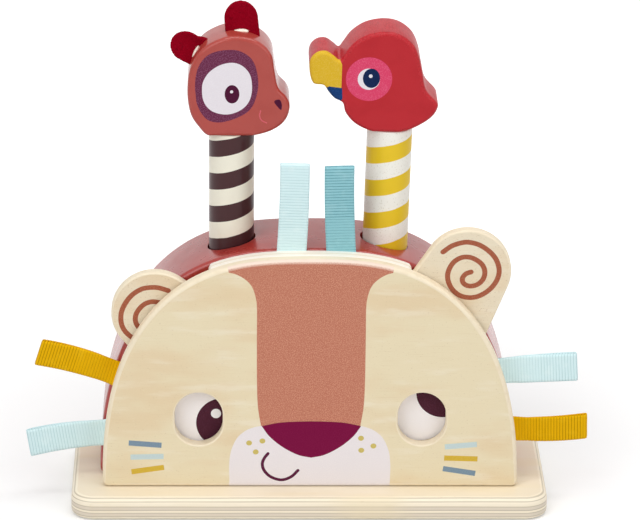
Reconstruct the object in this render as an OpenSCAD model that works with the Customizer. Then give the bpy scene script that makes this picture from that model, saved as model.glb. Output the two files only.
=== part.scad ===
// Wooden pop-up animal toy.
// A lion face stands on a ply base in front of a red half-round block.
// Two striped pegs with animal heads ride on springs in bores of the block.
// Two levers in the slot behind the face carry the lion's ears and eyes.
// Frame: X to the right, Y to the back, Z up, origin under the middle of the base.

/* [Base] */
// Width of the base plate
base_w = 244; // [200:1:300]
// Depth of the base plate
base_d = 93; // [80:1:130]
// Thickness of the base plate
base_t = 12; // [9:0.5:18]
// Radius of the base plate's corners
base_corner_r = 12; // [6:1:20]
// Rounding of the base plate's edges
base_edge_r = 2.4; // [0.5:0.1:3]

/* [Face and block] */
// Half width of the face and the block at the base
arch_half_w = 106.8; // [90:0.2:115]
// Height of the face and the block above the base
arch_h = 124.3; // [105:0.2:145]
// How square the sides of the arch are, 2 is an ellipse
arch_side_power = 2.8; // [2:0.1:4]
// How square the crown of the arch is, 2 is an ellipse
arch_crown_power = 2.25; // [2:0.05:3]
// Radius of the face's and the block's bottom corners
foot_corner_r = 3; // [2.8:0.2:6]
// Thickness of the face plate
face_t = 7; // [5:0.5:10]
// Depth of the slot between the face and the block
slot_d = 9; // [8:0.5:12]
// Depth of the red block
block_d = 47; // [42:1:60]
// Rounding of the face plate's front edge
face_edge_r = 2; // [0.5:0.1:2.5]
// Rounding of the block's edges
block_edge_r = 2.6; // [0.5:0.1:4]
// Rounding of the block's back edge
block_back_r = 1.4; // [0.5:0.1:4]

/* [Eye windows] */
// Distance of each window's centre from the middle of the face
window_x = 57; // [50:0.2:60]
// Height of the window centres above the base
window_z = 37.6; // [34:0.2:44]
// Width of each window
window_w = 24.6; // [20:0.2:27]
// Height of each window
window_h = 29; // [22:0.2:30]
// Rounding of each window's front edge
window_edge_r = 0.8; // [0.4:0.1:2]

/* [Ear and eye levers] */
// Distance of each pivot from the middle of the face
pivot_x = 13; // [10:0.5:18]
// Height of the pivots above the base
pivot_z = 106; // [100:0.5:108]
// Angle that each lever swings through
lever_swing = 19.5; // [12:0.5:21]
// Thickness of a lever
lever_t = 6; // [4:0.5:7]
// Radius of the boss round a pivot
pivot_boss_r = 6.5; // [5:0.25:7]
// Radius of the round ear
ear_r = 22.2; // [18:0.2:25]
// Distance of the raised ear's centre from the middle of the face
ear_x = 79.5; // [76:0.5:83]
// Height of the raised ear's centre above the base
ear_z = 115; // [112:0.5:119]
// Least cover of a lever round a window
eye_cover = 1.6; // [0.8:0.1:2.5]
// Diameter of a pivot pin
pivot_pin_d = 4; // [3:0.5:5]
// Running clearance on a pivot pin's diameter
pivot_fit = 0.15; // [0.05:0.05:0.2]
// Gap that is left between a lever and what stops it
stop_gap = 0.4; // [0.2:0.1:1]

/* [Spacers] */
// Half width of the top spacer
top_spacer_half_w = 51.4; // [44:0.2:53]
// Height of the top spacer
top_spacer_h = 10.2; // [8:0.2:10.4]
// Rounding of the top spacer's upper corners
top_spacer_corner_r = 1.4; // [0.4:0.1:2]
// How far the side spacers lie inside the arch
side_spacer_inset = 1.6; // [1:0.2:2.5]
// Width of a side spacer's upper strip
side_spacer_w = 4; // [3:0.2:4.4]
// Height of the side spacers
side_spacer_h = 68; // [60:1:70]
// Width of a side spacer's foot
side_foot_w = 15; // [8:0.5:18]
// Height of a side spacer's foot
side_foot_h = 35; // [20:1:36]
// Half width of the bottom spacer
bottom_spacer_half_w = 72; // [50:1:80]
// Diameter of the dowels through the spacers
dowel_d = 5; // [4:0.5:6]
// Depth of a dowel in the face plate
dowel_in_face = 4; // [3:0.5:5]
// Depth of a dowel in the block
dowel_in_block = 9; // [6:1:10]

/* [Pegs and springs] */
// Distance of each peg bore from the middle of the block
peg_x = 39; // [36:0.5:42]
// How far both bores lie to the right of that
peg_shift = -0.8; // [-2:0.1:2]
// Diameter of a peg
peg_d = 23; // [18:0.5:24]
// Clearance of a peg in its bore, on the diameter
peg_fit = 1.6; // [1.4:0.1:2.4]
// Travel of a peg when it is pushed down
peg_travel = 45; // [30:1:46]
// Length of peg that still shows when it is pushed down
peg_left = 15; // [8:1:24]
// How much longer the right peg is
right_rise = 2; // [0:0.1:3]
// Length of the guide bore at the top of the block
guide_len = 45; // [38:1:48]
// Diameter of the spring chamber under the guide bore
chamber_d = 32; // [30:0.5:34]
// Diameter of the collar that keeps a peg in the block
collar_d = 27.5; // [26.5:0.25:29]
// Thickness of a collar
collar_t = 4; // [3:0.5:6]
// Running gap under the shoulder that stops a collar
shoulder_gap = 0.45; // [0.4:0.05:0.8]
// Lean of the right peg in the play of its bore
right_lean = 1.5; // [0:0.1:1.5]
// Outside diameter of a spring
spring_d = 20; // [17:0.5:21]
// Diameter of the spring wire
wire_d = 1.4; // [1:0.1:1.8]
// Number of turns of a spring
spring_turns = 11; // [8:1:13]
// Diameter of the round seat for a spring in the base plate
seat_d = 27; // [26:0.5:28]
// Depth of the round seat for a spring in the base plate
seat_depth = 2; // [1:0.5:3]

/* [Animal heads] */
// Thickness of the animal heads
head_t = 24; // [18:0.5:26]
// Rounding of the heads' front edges
head_edge_r = 2.4; // [0.5:0.1:3]
// Rounding of the heads' back edges
head_back_r = 1.6; // [0.5:0.1:3]
// Diameter of the dowel between a peg and its head
neck_dowel_d = 8; // [6:0.5:10]
// Depth of the neck dowel on each side of the joint
neck_dowel_depth = 15; // [10:1:20]
// Thickness of the felt ears
felt_t = 2.2; // [1.5:0.1:3]
// Depth of a felt ear in its slit
felt_tuck = 5; // [3:0.5:8]
// Height of the arch in the felt over the head
felt_arch_h = 1.4; // [0.6:0.1:2]

/* [Ribbons] */
// Width of the ribbons
ribbon_w = 15; // [12:0.5:16]
// Thickness of one layer of ribbon
ribbon_t = 0.6; // [0.4:0.1:0.8]
// Distance between the middles of a loop's two layers at the tip
loop_open = 4.2; // [2:0.2:6]

/* [Fasteners] */
// Diameter of the screws in the base
base_screw_d = 4; // [3:0.5:5]
// Length of the screws in the base
base_screw_len = 32; // [24:1:40]
// Diameter of a collar screw
collar_screw_d = 3.5; // [3:0.5:4]
// Length of a collar screw
collar_screw_len = 20; // [16:1:30]

/* [Hidden] */
$fn = 64;
// Segments along an arch, and steps in a rounded edge
arch_steps = 56;
edge_steps = 3;
// A hair of extra depth, so that a cut passes its face
cut = 1;

// Depth of each layer along Y, from front to back
face_front_y = -(face_t + slot_d + block_d) / 2;
face_back_y = face_front_y + face_t;
block_front_y = face_back_y + slot_d;
block_back_y = block_front_y + block_d;
block_mid_y = (block_front_y + block_back_y) / 2;
lever_mid_y = (face_back_y + block_front_y) / 2;

// Peg and spring heights above the base
function arch_z(x) = arch_h * pow(1 - pow(abs(x) / arch_half_w, arch_side_power), 1 / arch_crown_power);
function peg_at(side) = side * peg_x + peg_shift;
bore_top = min(arch_z(peg_at(-1)), arch_z(peg_at(1)));
shoulder_z = bore_top - guide_len;
peg_bottom_z = shoulder_z - shoulder_gap;
head_bottom_z = bore_top + peg_left + peg_travel;
function head_z(left) = head_bottom_z + (left ? 0 : right_rise);
guide_mid_z = bore_top - guide_len / 2;
spring_top_z = peg_bottom_z - collar_t;
spring_len = spring_top_z + seat_depth;
spring_play = 0.1;
end_pitch = wire_d + 0.6;

// Lever geometry: the pivot, the raised ear and the two eye pads that cover a window at the swing's ends
eye_pad_r = max(window_w, window_h) / 2 + eye_cover;
eye_reach = norm([window_x - pivot_x, window_z - pivot_z]);
eye_angle = atan2(window_z - pivot_z, window_x - pivot_x);
pivot_at = [pivot_x, pivot_z];
ear_at = [ear_x, ear_z];
pad_low = [window_x, window_z];
pad_high = pivot_at + eye_reach * [cos(eye_angle + lever_swing), sin(eye_angle + lever_swing)];
waist_at = pad_high + 0.38 * (ear_at - pad_high) - [7.4, 0];
waist_r = 0.75 * ear_r;
neck_at = [top_spacer_half_w + 2, arch_z(top_spacer_half_w) - top_spacer_h];
neck_r = 5;
pad_lowest_z = pivot_z + eye_reach * sin(eye_angle - lever_swing) - eye_pad_r;
bottom_spacer_h = pad_lowest_z - stop_gap;
washer_t = (slot_d - lever_t) / 2 - 0.05;
washer_d = 2 * pivot_boss_r - 2;
pin_in_face = 4;
pin_in_block = 12;

// Spacer dowels, as x and height above the base
dowel_at = [
    [-36, arch_z(36) - top_spacer_h / 2],
    [36, arch_z(36) - top_spacer_h / 2],
    [-48, bottom_spacer_h / 2],
    [48, bottom_spacer_h / 2]
];
// Base screws, as x along the block's middle line
screw_at = [-75, -12, 12, 75];
screw_head_d = 2 * base_screw_d;
screw_head_h = base_screw_d / 2;
collar_head_d = 7;
collar_head_h = 2.4;

// Where a ribbon leaves the slot, a little inside the arch: on a side at height z, or on the crown at x
ribbon_inset = 0.8;
function arch_x(z) = arch_half_w * pow(1 - pow(z / arch_h, arch_crown_power), 1 / arch_side_power);
function side_root(side, z) = side * (arch_x(z) - ribbon_inset);
function crown_root(x) = arch_z(x) - ribbon_inset / 2;
// Ribbons: name, root x, root z above the base, direction of the loop in the XZ plane, length and tuck
ribbon_rows = [
    ["left_upper", side_root(-1, 57.8), 57.8, 163.1, 40, 6],
    ["left_lower", side_root(-1, 24.8), 24.8, 188.2, 39.4, 8],
    ["right_upper", side_root(1, 59.6), 59.6, 3.4, 38.2, 6],
    ["right_lower", side_root(1, 27.4), 27.4, 2.3, 37.2, 8],
    ["top_left", -9.4, crown_root(-9.4), 88.2, 46.8, 9],
    ["top_right", 15.7, crown_root(15.7), 91.5, 45.6, 9]
];

// Outline of the red panda's head round its peg's axis, from the middle of its flat bottom, clockwise
panda_knots = [
    [-0.7, -0.6], [-11.3, -0.2], [-16.3, 4.6], [-20.3, 12], [-21.7, 24], [-19.7, 37], [-13.7, 46],
    [-3.7, 51.4], [5.3, 52.2], [14.1, 49.4], [19.9, 43], [21.6, 34], [23.5, 25.4], [27.7, 20.4],
    [29.3, 15], [26.9, 8], [20.3, 2.8], [10.3, -0.1]
];
// Outline of the parrot's head round its peg's axis, from the middle of its flat bottom, clockwise
parrot_knots = [
    [-0.7, -0.6], [-9.7, 0.2], [-17.7, 3.8], [-22.7, 9.6], [-24.3, 15.2], [-28.7, 17.6],
    [-32.3, 21.6], [-35.1, 24.4], [-39.3, 25], [-41.1, 31], [-40.9, 37.6], [-37.9, 41.2],
    [-33.7, 42], [-30.1, 39.9], [-27.1, 37.4], [-24.7, 39.8], [-20.7, 45.4], [-13.7, 50.2],
    [-4.7, 52.2], [2.9, 51], [9.3, 46.4], [12.7, 40], [14.7, 31], [16.9, 22.8], [22.1, 17.2],
    [22.9, 14.2], [19.9, 9.4], [14.3, 5.2], [7.9, 1.2]
];
// Felt ears of the red panda: middle of the root, direction, half width and height above the head
upper_ear = [5.4, 51.6, 95, 8.6, 16];
side_ear = [-16.2, 41, 153.8, 8.2, 15.4];

// ---- Shared shapes ----

// Points of an arch outline, from its right foot over the crown to its left foot
function arch_points(steps) = [
    for (i = [0:steps])
        let (a = 180 * i / steps)
        [arch_half_w * sign(cos(a)) * pow(abs(cos(a)), 2 / arch_side_power),
         arch_h * pow(abs(sin(a)), 2 / arch_crown_power)]
];

// Outline of the face and the block, counter-clockwise, with its two bottom corners rounded
function arch_outline(steps) =
    let (
        r = foot_corner_r,
        x = arch_side(r, 0)[0] - r,
        foot = [for (k = [0:4]) let (a = 22.5 * k - 90) [x + r * cos(a), r + r * sin(a)]],
        sides = [for (p = arch_points(steps)) if (p[1] > 1.4 * r) p]
    )
    concat(foot, sides, [for (k = [4:-1:0]) [-foot[k][0], foot[k][1]]]);

// Outward normal of the arch at one of its points
function arch_normal(p) =
    let (
        nx = arch_side_power * sign(p[0]) * pow(abs(p[0]) / arch_half_w, arch_side_power - 1) / arch_half_w,
        nz = arch_crown_power * pow(p[1] / arch_h, arch_crown_power - 1) / arch_h
    )
    [nx, nz] / norm([nx, nz]);

// Point of the arch's right side at a height, moved inward by a distance
function arch_side(z, inset) =
    let (n = arch_normal([arch_x(z), z]))
    [arch_x(z) - inset * n[0], z];

// Closed smooth curve through knots, as points
function smooth_loop(knots, steps) = [
    for (i = [0:len(knots) - 1])
        for (k = [0:steps - 1])
            let (
                n = len(knots),
                a = knots[(i + n - 1) % n],
                b = knots[i],
                c = knots[(i + 1) % n],
                d = knots[(i + 2) % n],
                t = k / steps
            )
            0.5 * (2 * b + (c - a) * t
                + (2 * a - 5 * b + 4 * c - d) * t * t
                + (3 * b - a - 3 * c + d) * t * t * t)
];

// A head's outline, counter-clockwise, cut flat at height 0 where it sits on its peg
function head_outline(knots, steps) =
    let (
        loop = smooth_loop(knots, steps),
        n = len(loop),
        flat = [
            for (i = [0:n - 1])
                if (loop[i][1] > 0 || loop[(i + 1) % n][1] > 0 || loop[(i + n - 1) % n][1] > 0)
                    [loop[i][0], max(loop[i][1], 0)]
        ]
    )
    [for (i = [len(flat) - 1:-1:0]) flat[i]];

// Points of a rounded rectangle, counter-clockwise
function rounded_rect(w, d, r, steps) = [
    for (q = [0:3])
        for (k = [0:steps])
            let (
                a = 90 * (q + k / steps),
                cx = (q == 0 || q == 3) ? w / 2 - r : r - w / 2,
                cy = (q < 2) ? d / 2 - r : r - d / 2
            )
            [cx + r * cos(a), cy + r * sin(a)]
];

// Outward normals of a closed counter-clockwise outline
function loop_normals(pts) = [
    for (i = [0:len(pts) - 1])
        let (
            n = len(pts),
            t = pts[(i + 1) % n] - pts[(i + n - 1) % n]
        )
        [t[1], -t[0]] / norm(t)
];

// Most of a point's radius of curvature, or a large number where the outline is straight or hollow
function tight_r(a, b, c) =
    let (turn = cross(b - a, c - b))
    turn > 0.0001 ? 0.4 * norm(b - a) * norm(c - b) * norm(c - a) / turn : 100;

// How far each point may move inward before a rounded edge would fold at a tight corner near it
function loop_limits(pts) =
    let (
        n = len(pts),
        own = [for (i = [0:n - 1]) tight_r(pts[(i + n - 1) % n], pts[i], pts[(i + 1) % n])]
    )
    [
        for (i = [0:n - 1])
            min([for (k = [-4:4]) let (j = (i + k + n) % n) own[j] + 0.5 * norm(pts[j] - pts[i])])
    ];

// A plate with rounded edges: outline, normals and limits in XY, thickness along Z
module soft_plate(pts, normals, limits, t, low_r, high_r) {
    n = len(pts);
    low = [
        for (k = [0:edge_steps])
            [low_r * (1 - sin(90 * k / edge_steps)), low_r * (1 - cos(90 * k / edge_steps))]
    ];
    high = [
        for (k = [edge_steps:-1:0])
            [high_r * (1 - sin(90 * k / edge_steps)), t - high_r * (1 - cos(90 * k / edge_steps))]
    ];
    rings = concat(low, high);
    points = [
        for (ring = rings)
            for (i = [0:n - 1])
                let (p = pts[i] - min(ring[0], limits[i]) * normals[i])
                [p[0], p[1], ring[1]]
    ];
    walls = [
        for (k = [0:len(rings) - 2])
            for (i = [0:n - 1])
                let (a = k * n + i, b = k * n + (i + 1) % n)
                each [[a, a + n, b + n], [a, b + n, b]]
    ];
    floor_face = [for (i = [0:n - 1]) i];
    roof_face = [for (i = [n - 1:-1:0]) (len(rings) - 1) * n + i];
    polyhedron(points, concat([floor_face], walls, [roof_face]), convexity = 6);
}

// An upright arch with rounded edges, from its back plane forward to Y = back_y - t
module arch_slab(back_y, t, back_r, front_r) {
    pts = arch_outline(arch_steps);
    limits = [for (p = pts) 100];
    translate([0, back_y, base_t])
        rotate([90, 0, 0])
            soft_plate(pts, loop_normals(pts), limits, t, back_r, front_r);
}

// A flat shape in the XZ plane above the base, given a thickness along Y round mid_y
module upright(mid_y, t) {
    translate([0, mid_y + t / 2, base_t])
        rotate([90, 0, 0])
            linear_extrude(height = t)
                children();
}

// A round bar along Y between two planes, at x and height z above the base
module bar_y(x, z, d, y0, y1) {
    translate([x, y1, base_t + z])
        rotate([90, 0, 0])
            cylinder(d = d, h = y1 - y0);
}

// Two circles and the straight belt between them
module belt(a, ra, b, rb) {
    along = (b - a) / norm(b - a);
    side = [-along[1], along[0]];
    s = (ra - rb) / norm(b - a);
    c = sqrt(1 - s * s);
    left = s * along + c * side;
    right = s * along - c * side;
    translate(a) circle(r = ra);
    translate(b) circle(r = rb);
    polygon([a + ra * right, b + rb * right, b + rb * left, a + ra * left]);
}

// Mirrors its children to the left side
module on_side(left) {
    if (left) {
        mirror([1, 0, 0]) children();
    } else {
        children();
    }
}

// ---- Base ----

module base_plate() {
    outline = rounded_rect(base_w, base_d, base_corner_r, 6);
    color("#f0e2c4")
        difference() {
            soft_plate(
                outline, loop_normals(outline), [for (p = outline) 100],
                base_t, base_edge_r, base_edge_r
            );
            for (side = [-1, 1])
                translate([peg_at(side), block_mid_y, base_t - seat_depth])
                    cylinder(d = seat_d, h = seat_depth + cut);
            for (x = screw_at)
                translate([x, block_mid_y, 0]) {
                    translate([0, 0, -cut])
                        cylinder(d = base_screw_d + 0.5, h = base_t + 2 * cut);
                    translate([0, 0, -0.01])
                        cylinder(d1 = screw_head_d + 0.7, d2 = base_screw_d, h = screw_head_h + 0.4);
                }
        }
}

module base_screws() {
    color("#b9b6ae")
        for (x = screw_at)
            translate([x, block_mid_y, 0.3]) {
                difference() {
                    cylinder(d1 = screw_head_d, d2 = base_screw_d, h = screw_head_h);
                    translate([0, 0, -0.01])
                        cylinder(d = 2.4, h = 1.2, $fn = 4);
                }
                translate([0, 0, screw_head_h])
                    cylinder(d = base_screw_d, h = base_screw_len - screw_head_h - 4);
                translate([0, 0, base_screw_len - 4])
                    cylinder(d1 = base_screw_d, d2 = 1, h = 4);
            }
}

// ---- Block ----

module body_block() {
    color("#a83c34")
        difference() {
            arch_slab(block_back_y, block_d, block_back_r, block_edge_r);
            for (side = [-1, 1])
                translate([peg_at(side), block_mid_y, base_t]) {
                    translate([0, 0, shoulder_z - cut])
                        cylinder(d = peg_d + peg_fit, h = guide_len + 20);
                    translate([0, 0, -cut])
                        cylinder(d = chamber_d, h = shoulder_z + cut);
                }
            for (side = [-1, 1])
                bar_y(
                    side * pivot_x, pivot_z, pivot_pin_d,
                    block_front_y - cut, block_front_y + pin_in_block + 0.5
                );
            for (p = dowel_at)
                bar_y(p[0], p[1], dowel_d, block_front_y - cut, block_front_y + dowel_in_block + 0.5);
            for (x = screw_at)
                translate([x, block_mid_y, base_t - cut])
                    cylinder(d = base_screw_d, h = base_screw_len - base_t + cut + 1);
        }
}

// ---- Face ----

// The cutter of one eye window, with a flare for the rounded front edge
module window_cutter() {
    r = window_w / 2;
    rise = (window_h - window_w) / 2;
    bore = 2 * face_t;
    module profile() {
        difference() {
            translate([0, -window_edge_r])
                square([r + window_edge_r, window_edge_r + cut]);
            translate([r + window_edge_r, -window_edge_r])
                circle(r = window_edge_r);
        }
    }
    for (s = [-1, 1])
        translate([0, s * rise, 0]) {
            translate([0, 0, -bore])
                cylinder(r = r, h = bore);
            rotate_extrude()
                profile();
        }
    translate([-r, -rise, -bore])
        cube([window_w, 2 * rise, bore]);
    for (flip = [0, 1])
        mirror([flip, 0, 0])
            translate([0, rise, 0])
                rotate([90, 0, 0])
                    linear_extrude(height = 2 * rise)
                        profile();
}

module face_plate() {
    color("#e8d9b6")
        difference() {
            arch_slab(face_back_y, face_t, 0.8, face_edge_r);
            for (side = [-1, 1]) {
                translate([side * window_x, face_front_y, base_t + window_z])
                    rotate([90, 0, 0])
                        window_cutter();
                bar_y(side * pivot_x, pivot_z, pivot_pin_d, face_back_y - pin_in_face, face_back_y + cut);
            }
            for (p = dowel_at)
                bar_y(p[0], p[1], dowel_d, face_back_y - dowel_in_face, face_back_y + cut);
        }
}

// ---- Spacers between face and block ----

// The flat shape of the top spacer, grown downward and to the sides by a gap
module top_spacer_shape(gap) {
    steps = 20;
    half = top_spacer_half_w + gap;
    r = top_spacer_corner_r;
    corner = [for (a = [0:22.5:67.5]) [half - r + r * cos(a), -0.3 - r + r * sin(a)]];
    inner = half - r;
    crown = concat(
        [for (c = corner) [c[0], arch_z(c[0]) + c[1]]],
        [for (i = [0:steps]) let (x = inner * (1 - 2 * i / steps)) [x, arch_z(x) - 0.3]],
        [for (i = [3:-1:0]) let (c = corner[i]) [-c[0], arch_z(c[0]) + c[1]]]
    );
    sole = [for (i = [steps:-1:0]) let (x = half * (1 - 2 * i / steps)) [x, arch_z(x) - top_spacer_h - gap]];
    polygon(concat(crown, sole));
}

// Where a ribbon is held: its width and the depth of two layers, cut into a spacer's back
module ribbon_pocket(row) {
    gap = 0.15;
    depth = 2 * ribbon_t + gap;
    translate([row[1], block_front_y, base_t + row[2]])
        rotate([0, -row[3], 0])
            translate([-row[5] - gap, -depth, -ribbon_w / 2 - gap])
                cube([row[5] + 20, depth + cut, ribbon_w + 2 * gap]);
}

module dowel_holes(rows) {
    for (i = rows)
        bar_y(dowel_at[i][0], dowel_at[i][1], dowel_d, face_back_y - cut, block_front_y + cut);
}

module top_spacer() {
    color("#ead9b4")
        difference() {
            upright(lever_mid_y, slot_d)
                top_spacer_shape(0);
            dowel_holes([0, 1]);
            for (i = [4, 5])
                ribbon_pocket(ribbon_rows[i]);
        }
}

module bottom_spacer() {
    color("#ead9b4")
        difference() {
            upright(lever_mid_y, slot_d)
                translate([-bottom_spacer_half_w, 0])
                    square([2 * bottom_spacer_half_w, bottom_spacer_h]);
            dowel_holes([2, 3]);
        }
}

// The flat shape of a side spacer: a strip along the arch on a wider foot
module side_spacer_shape() {
    steps = 16;
    outer = [for (i = [0:steps]) arch_side(side_spacer_h * i / steps, side_spacer_inset)];
    inner = [
        for (i = [steps:-1:0])
            let (z = side_foot_h + (side_spacer_h - side_foot_h) * i / steps)
            arch_side(z, side_spacer_inset + side_spacer_w)
    ];
    foot_x = arch_half_w - side_spacer_inset - side_foot_w;
    polygon(concat(outer, inner, [[foot_x, side_foot_h], [foot_x, 0]]));
}

module side_spacer(left) {
    color("#ead9b4")
        difference() {
            on_side(left)
                upright(lever_mid_y, slot_d)
                    side_spacer_shape();
            for (i = left ? [0, 1] : [2, 3])
                ribbon_pocket(ribbon_rows[i]);
        }
}

module left_side_spacer() {
    side_spacer(true);
}

module right_side_spacer() {
    side_spacer(false);
}

module spacer_dowels() {
    color("#d9c08f")
        for (p = dowel_at)
            bar_y(p[0], p[1], dowel_d, face_back_y - dowel_in_face, block_front_y + dowel_in_block);
}

// ---- Ear and eye levers ----

// The flat shape of a right lever with its ear raised
module lever_shape() {
    difference() {
        union() {
            belt(pivot_at, pivot_boss_r, pad_low, eye_pad_r);
            belt(pad_low, eye_pad_r, pad_high, eye_pad_r);
            belt(pad_high, eye_pad_r, waist_at, waist_r);
            belt(waist_at, waist_r, ear_at, ear_r);
            belt(pivot_at, pivot_boss_r, neck_at, neck_r);
            belt(neck_at, neck_r, ear_at, ear_r);
            polygon([pivot_at, pad_low, pad_high, waist_at, ear_at, neck_at]);
        }
        top_spacer_shape(stop_gap);
        translate(pivot_at)
            circle(d = pivot_pin_d + pivot_fit);
    }
}

// A lever in its resting place, turned down from the raised ear by drop
module ear_lever(left, drop) {
    color("#ead7ad")
        on_side(left)
            upright(lever_mid_y, lever_t)
                translate(pivot_at)
                    rotate(-drop)
                        translate(-pivot_at)
                            lever_shape();
}

module left_ear_lever() {
    ear_lever(true, lever_swing);
}

module right_ear_lever() {
    ear_lever(false, 0);
}

module pivot_pin(side) {
    color("#c9c9c9")
        bar_y(side * pivot_x, pivot_z, pivot_pin_d, face_back_y - pin_in_face, block_front_y + pin_in_block);
}

module left_pivot_pin() {
    pivot_pin(-1);
}

module right_pivot_pin() {
    pivot_pin(1);
}

module pivot_washers(side) {
    color("#e9e9e4")
        for (y = [face_back_y, block_front_y - washer_t])
            difference() {
                bar_y(side * pivot_x, pivot_z, washer_d, y, y + washer_t);
                bar_y(side * pivot_x, pivot_z, pivot_pin_d + pivot_fit, y - cut, y + washer_t + cut);
            }
}

module left_pivot_washers() {
    pivot_washers(-1);
}

module right_pivot_washers() {
    pivot_washers(1);
}

// ---- Pegs ----

// Puts a peg's own frame, with its axis at X = Y = 0 and heights above the base, into its bore
module in_bore(left) {
    lean = left ? 0 : right_lean;
    translate([peg_at(left ? -1 : 1), block_mid_y, base_t + guide_mid_z])
        rotate([0, lean, 0])
            translate([0, 0, -guide_mid_z])
                children();
}

module peg(left, tint) {
    bevel = 0.8;
    color(tint)
        in_bore(left)
            difference() {
                union() {
                    translate([0, 0, peg_bottom_z])
                        cylinder(d1 = peg_d - 2 * bevel, d2 = peg_d, h = bevel);
                    translate([0, 0, peg_bottom_z + bevel])
                        cylinder(d = peg_d, h = head_z(left) - peg_bottom_z - bevel);
                }
                translate([0, 0, head_z(left) - neck_dowel_depth - 0.5])
                    cylinder(d = neck_dowel_d, h = neck_dowel_depth + cut + 0.5);
                translate([0, 0, peg_bottom_z - cut])
                    cylinder(d = collar_screw_d, h = collar_screw_len - collar_t + cut + 1);
            }
}

module left_peg() {
    peg(true, "#efe8d6");
}

module right_peg() {
    peg(false, "#f2efe4");
}

module peg_collar(left) {
    color("#cfb98a")
        in_bore(left)
            translate([0, 0, spring_top_z])
                difference() {
                    cylinder(d = collar_d, h = collar_t);
                    translate([0, 0, -cut])
                        cylinder(d = collar_screw_d, h = collar_t + 2 * cut);
                }
}

module left_peg_collar() {
    peg_collar(true);
}

module right_peg_collar() {
    peg_collar(false);
}

module collar_screw(left) {
    color("#b9b6ae")
        in_bore(left)
            translate([0, 0, spring_top_z - collar_head_h]) {
                difference() {
                    cylinder(d1 = collar_head_d - 1.6, d2 = collar_head_d, h = collar_head_h);
                    translate([0, 0, -cut])
                        cylinder(d = 2.2, h = cut + 1.4, $fn = 4);
                }
                translate([0, 0, collar_head_h])
                    cylinder(d = collar_screw_d, h = collar_screw_len);
            }
}

module left_collar_screw() {
    collar_screw(true);
}

module right_collar_screw() {
    collar_screw(false);
}

module neck_dowel(left) {
    color("#d9c08f")
        in_bore(left)
            translate([0, 0, head_z(left) - neck_dowel_depth])
                cylinder(d = neck_dowel_d, h = 2 * neck_dowel_depth);
}

module left_neck_dowel() {
    neck_dowel(true);
}

module right_neck_dowel() {
    neck_dowel(false);
}

// ---- Springs ----

// Height of the wire's middle after so many turns, with a close turn at each end
function coil_z(turn, turns, rise) =
    let (pitch = (rise - 2 * end_pitch) / (turns - 2))
    turn < 1 ? turn * end_pitch
    : turn > turns - 1 ? rise - (turns - turn) * end_pitch
    : end_pitch + (turn - 1) * pitch;

// One unbroken tube along a helix
module coil(outer_d, wire, turns, length, rings_a_turn, sides) {
    r = (outer_d - wire) / 2;
    rise = length - wire;
    steps = turns * rings_a_turn;
    points = [
        for (i = [0:steps])
            for (k = [0:sides - 1])
                let (
                    a = 360 * i / rings_a_turn,
                    b = 360 * (k + 0.5) / sides,
                    out = r + wire / 2 * cos(b)
                )
                [
                    out * cos(a),
                    out * sin(a),
                    wire / 2 + coil_z(i / rings_a_turn, turns, rise) + wire / 2 * sin(b)
                ]
    ];
    walls = [
        for (i = [0:steps - 1])
            for (k = [0:sides - 1])
                let (p = i * sides + k, q = i * sides + (k + 1) % sides)
                each [[p, q, q + sides], [p, q + sides, p + sides]]
    ];
    start_face = [for (k = [sides - 1:-1:0]) k];
    end_face = [for (k = [0:sides - 1]) steps * sides + k];
    polyhedron(points, concat([start_face], walls, [end_face]), convexity = 10);
}

module peg_spring(left) {
    // A leaning spring stands on its low side
    lift = left ? 0 : spring_d / 2 * sin(right_lean);
    color("#aeb4b8")
        in_bore(left)
            translate([0, 0, spring_play - seat_depth + lift])
                coil(spring_d, wire_d, spring_turns, spring_len - 2 * spring_play - lift, 8, 6);
}

module left_spring() {
    peg_spring(true);
}

module right_spring() {
    peg_spring(false);
}

// Least gap between neighbouring turns of a spring at rest
free_pitch = (spring_len - 2 * spring_play - wire_d - 2 * end_pitch) / (spring_turns - 2);
coil_gap = min(end_pitch, free_pitch) - wire_d;
// Room that is left over the closed coil when a peg is pushed down
pressed_room = spring_len - peg_travel - (spring_turns + 1) * wire_d;
echo(coil_gap = coil_gap, pressed_room = pressed_room);

// ---- Heads ----

// Slit for a felt ear, or the ear itself, in a head's own frame with its bottom at height 0
module felt_shape(ear, below, grow) {
    half = ear[3] + grow;
    translate([ear[0], ear[1]])
        rotate(ear[2] - 90) {
            translate([-half, -below - grow])
                square([2 * half, below + grow + ear[4] - ear[3]]);
            translate([0, ear[4] - ear[3]])
                circle(r = half);
        }
}

// The felt stands on its two corners, and arches a little over the head between them
module felt_arch(ear) {
    translate([ear[0], ear[1]])
        rotate(ear[2] - 90)
            polygon([for (a = [0:20:359]) [0.5 * ear[3] * cos(a), felt_arch_h / 2 + felt_arch_h * sin(a)]]);
}

module animal_head(left, knots, tint, ears) {
    pts = head_outline(knots, 4);
    color(tint)
        in_bore(left)
            difference() {
                translate([0, head_t / 2, head_z(left)])
                    rotate([90, 0, 0])
                        soft_plate(
                            pts, loop_normals(pts), loop_limits(pts),
                            head_t, head_back_r, head_edge_r
                        );
                translate([0, 0, head_z(left) - cut])
                    cylinder(d = neck_dowel_d, h = neck_dowel_depth + cut + 0.5);
                for (ear = ears)
                    felt_layer(felt_t + 0.2)
                        intersection() {
                            felt_shape(ear, felt_tuck, 0.1);
                            translate([-60, -1])
                                square([120, 70]);
                        }
            }
}

// A layer of felt in the middle of a head
module felt_layer(t) {
    translate([0, t / 2, head_bottom_z])
        rotate([90, 0, 0])
            linear_extrude(height = t)
                children();
}

module red_panda_head() {
    animal_head(true, panda_knots, "#ae4f46", [upper_ear, side_ear]);
}

module parrot_head() {
    animal_head(false, parrot_knots, "#b62a31", []);
}

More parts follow.
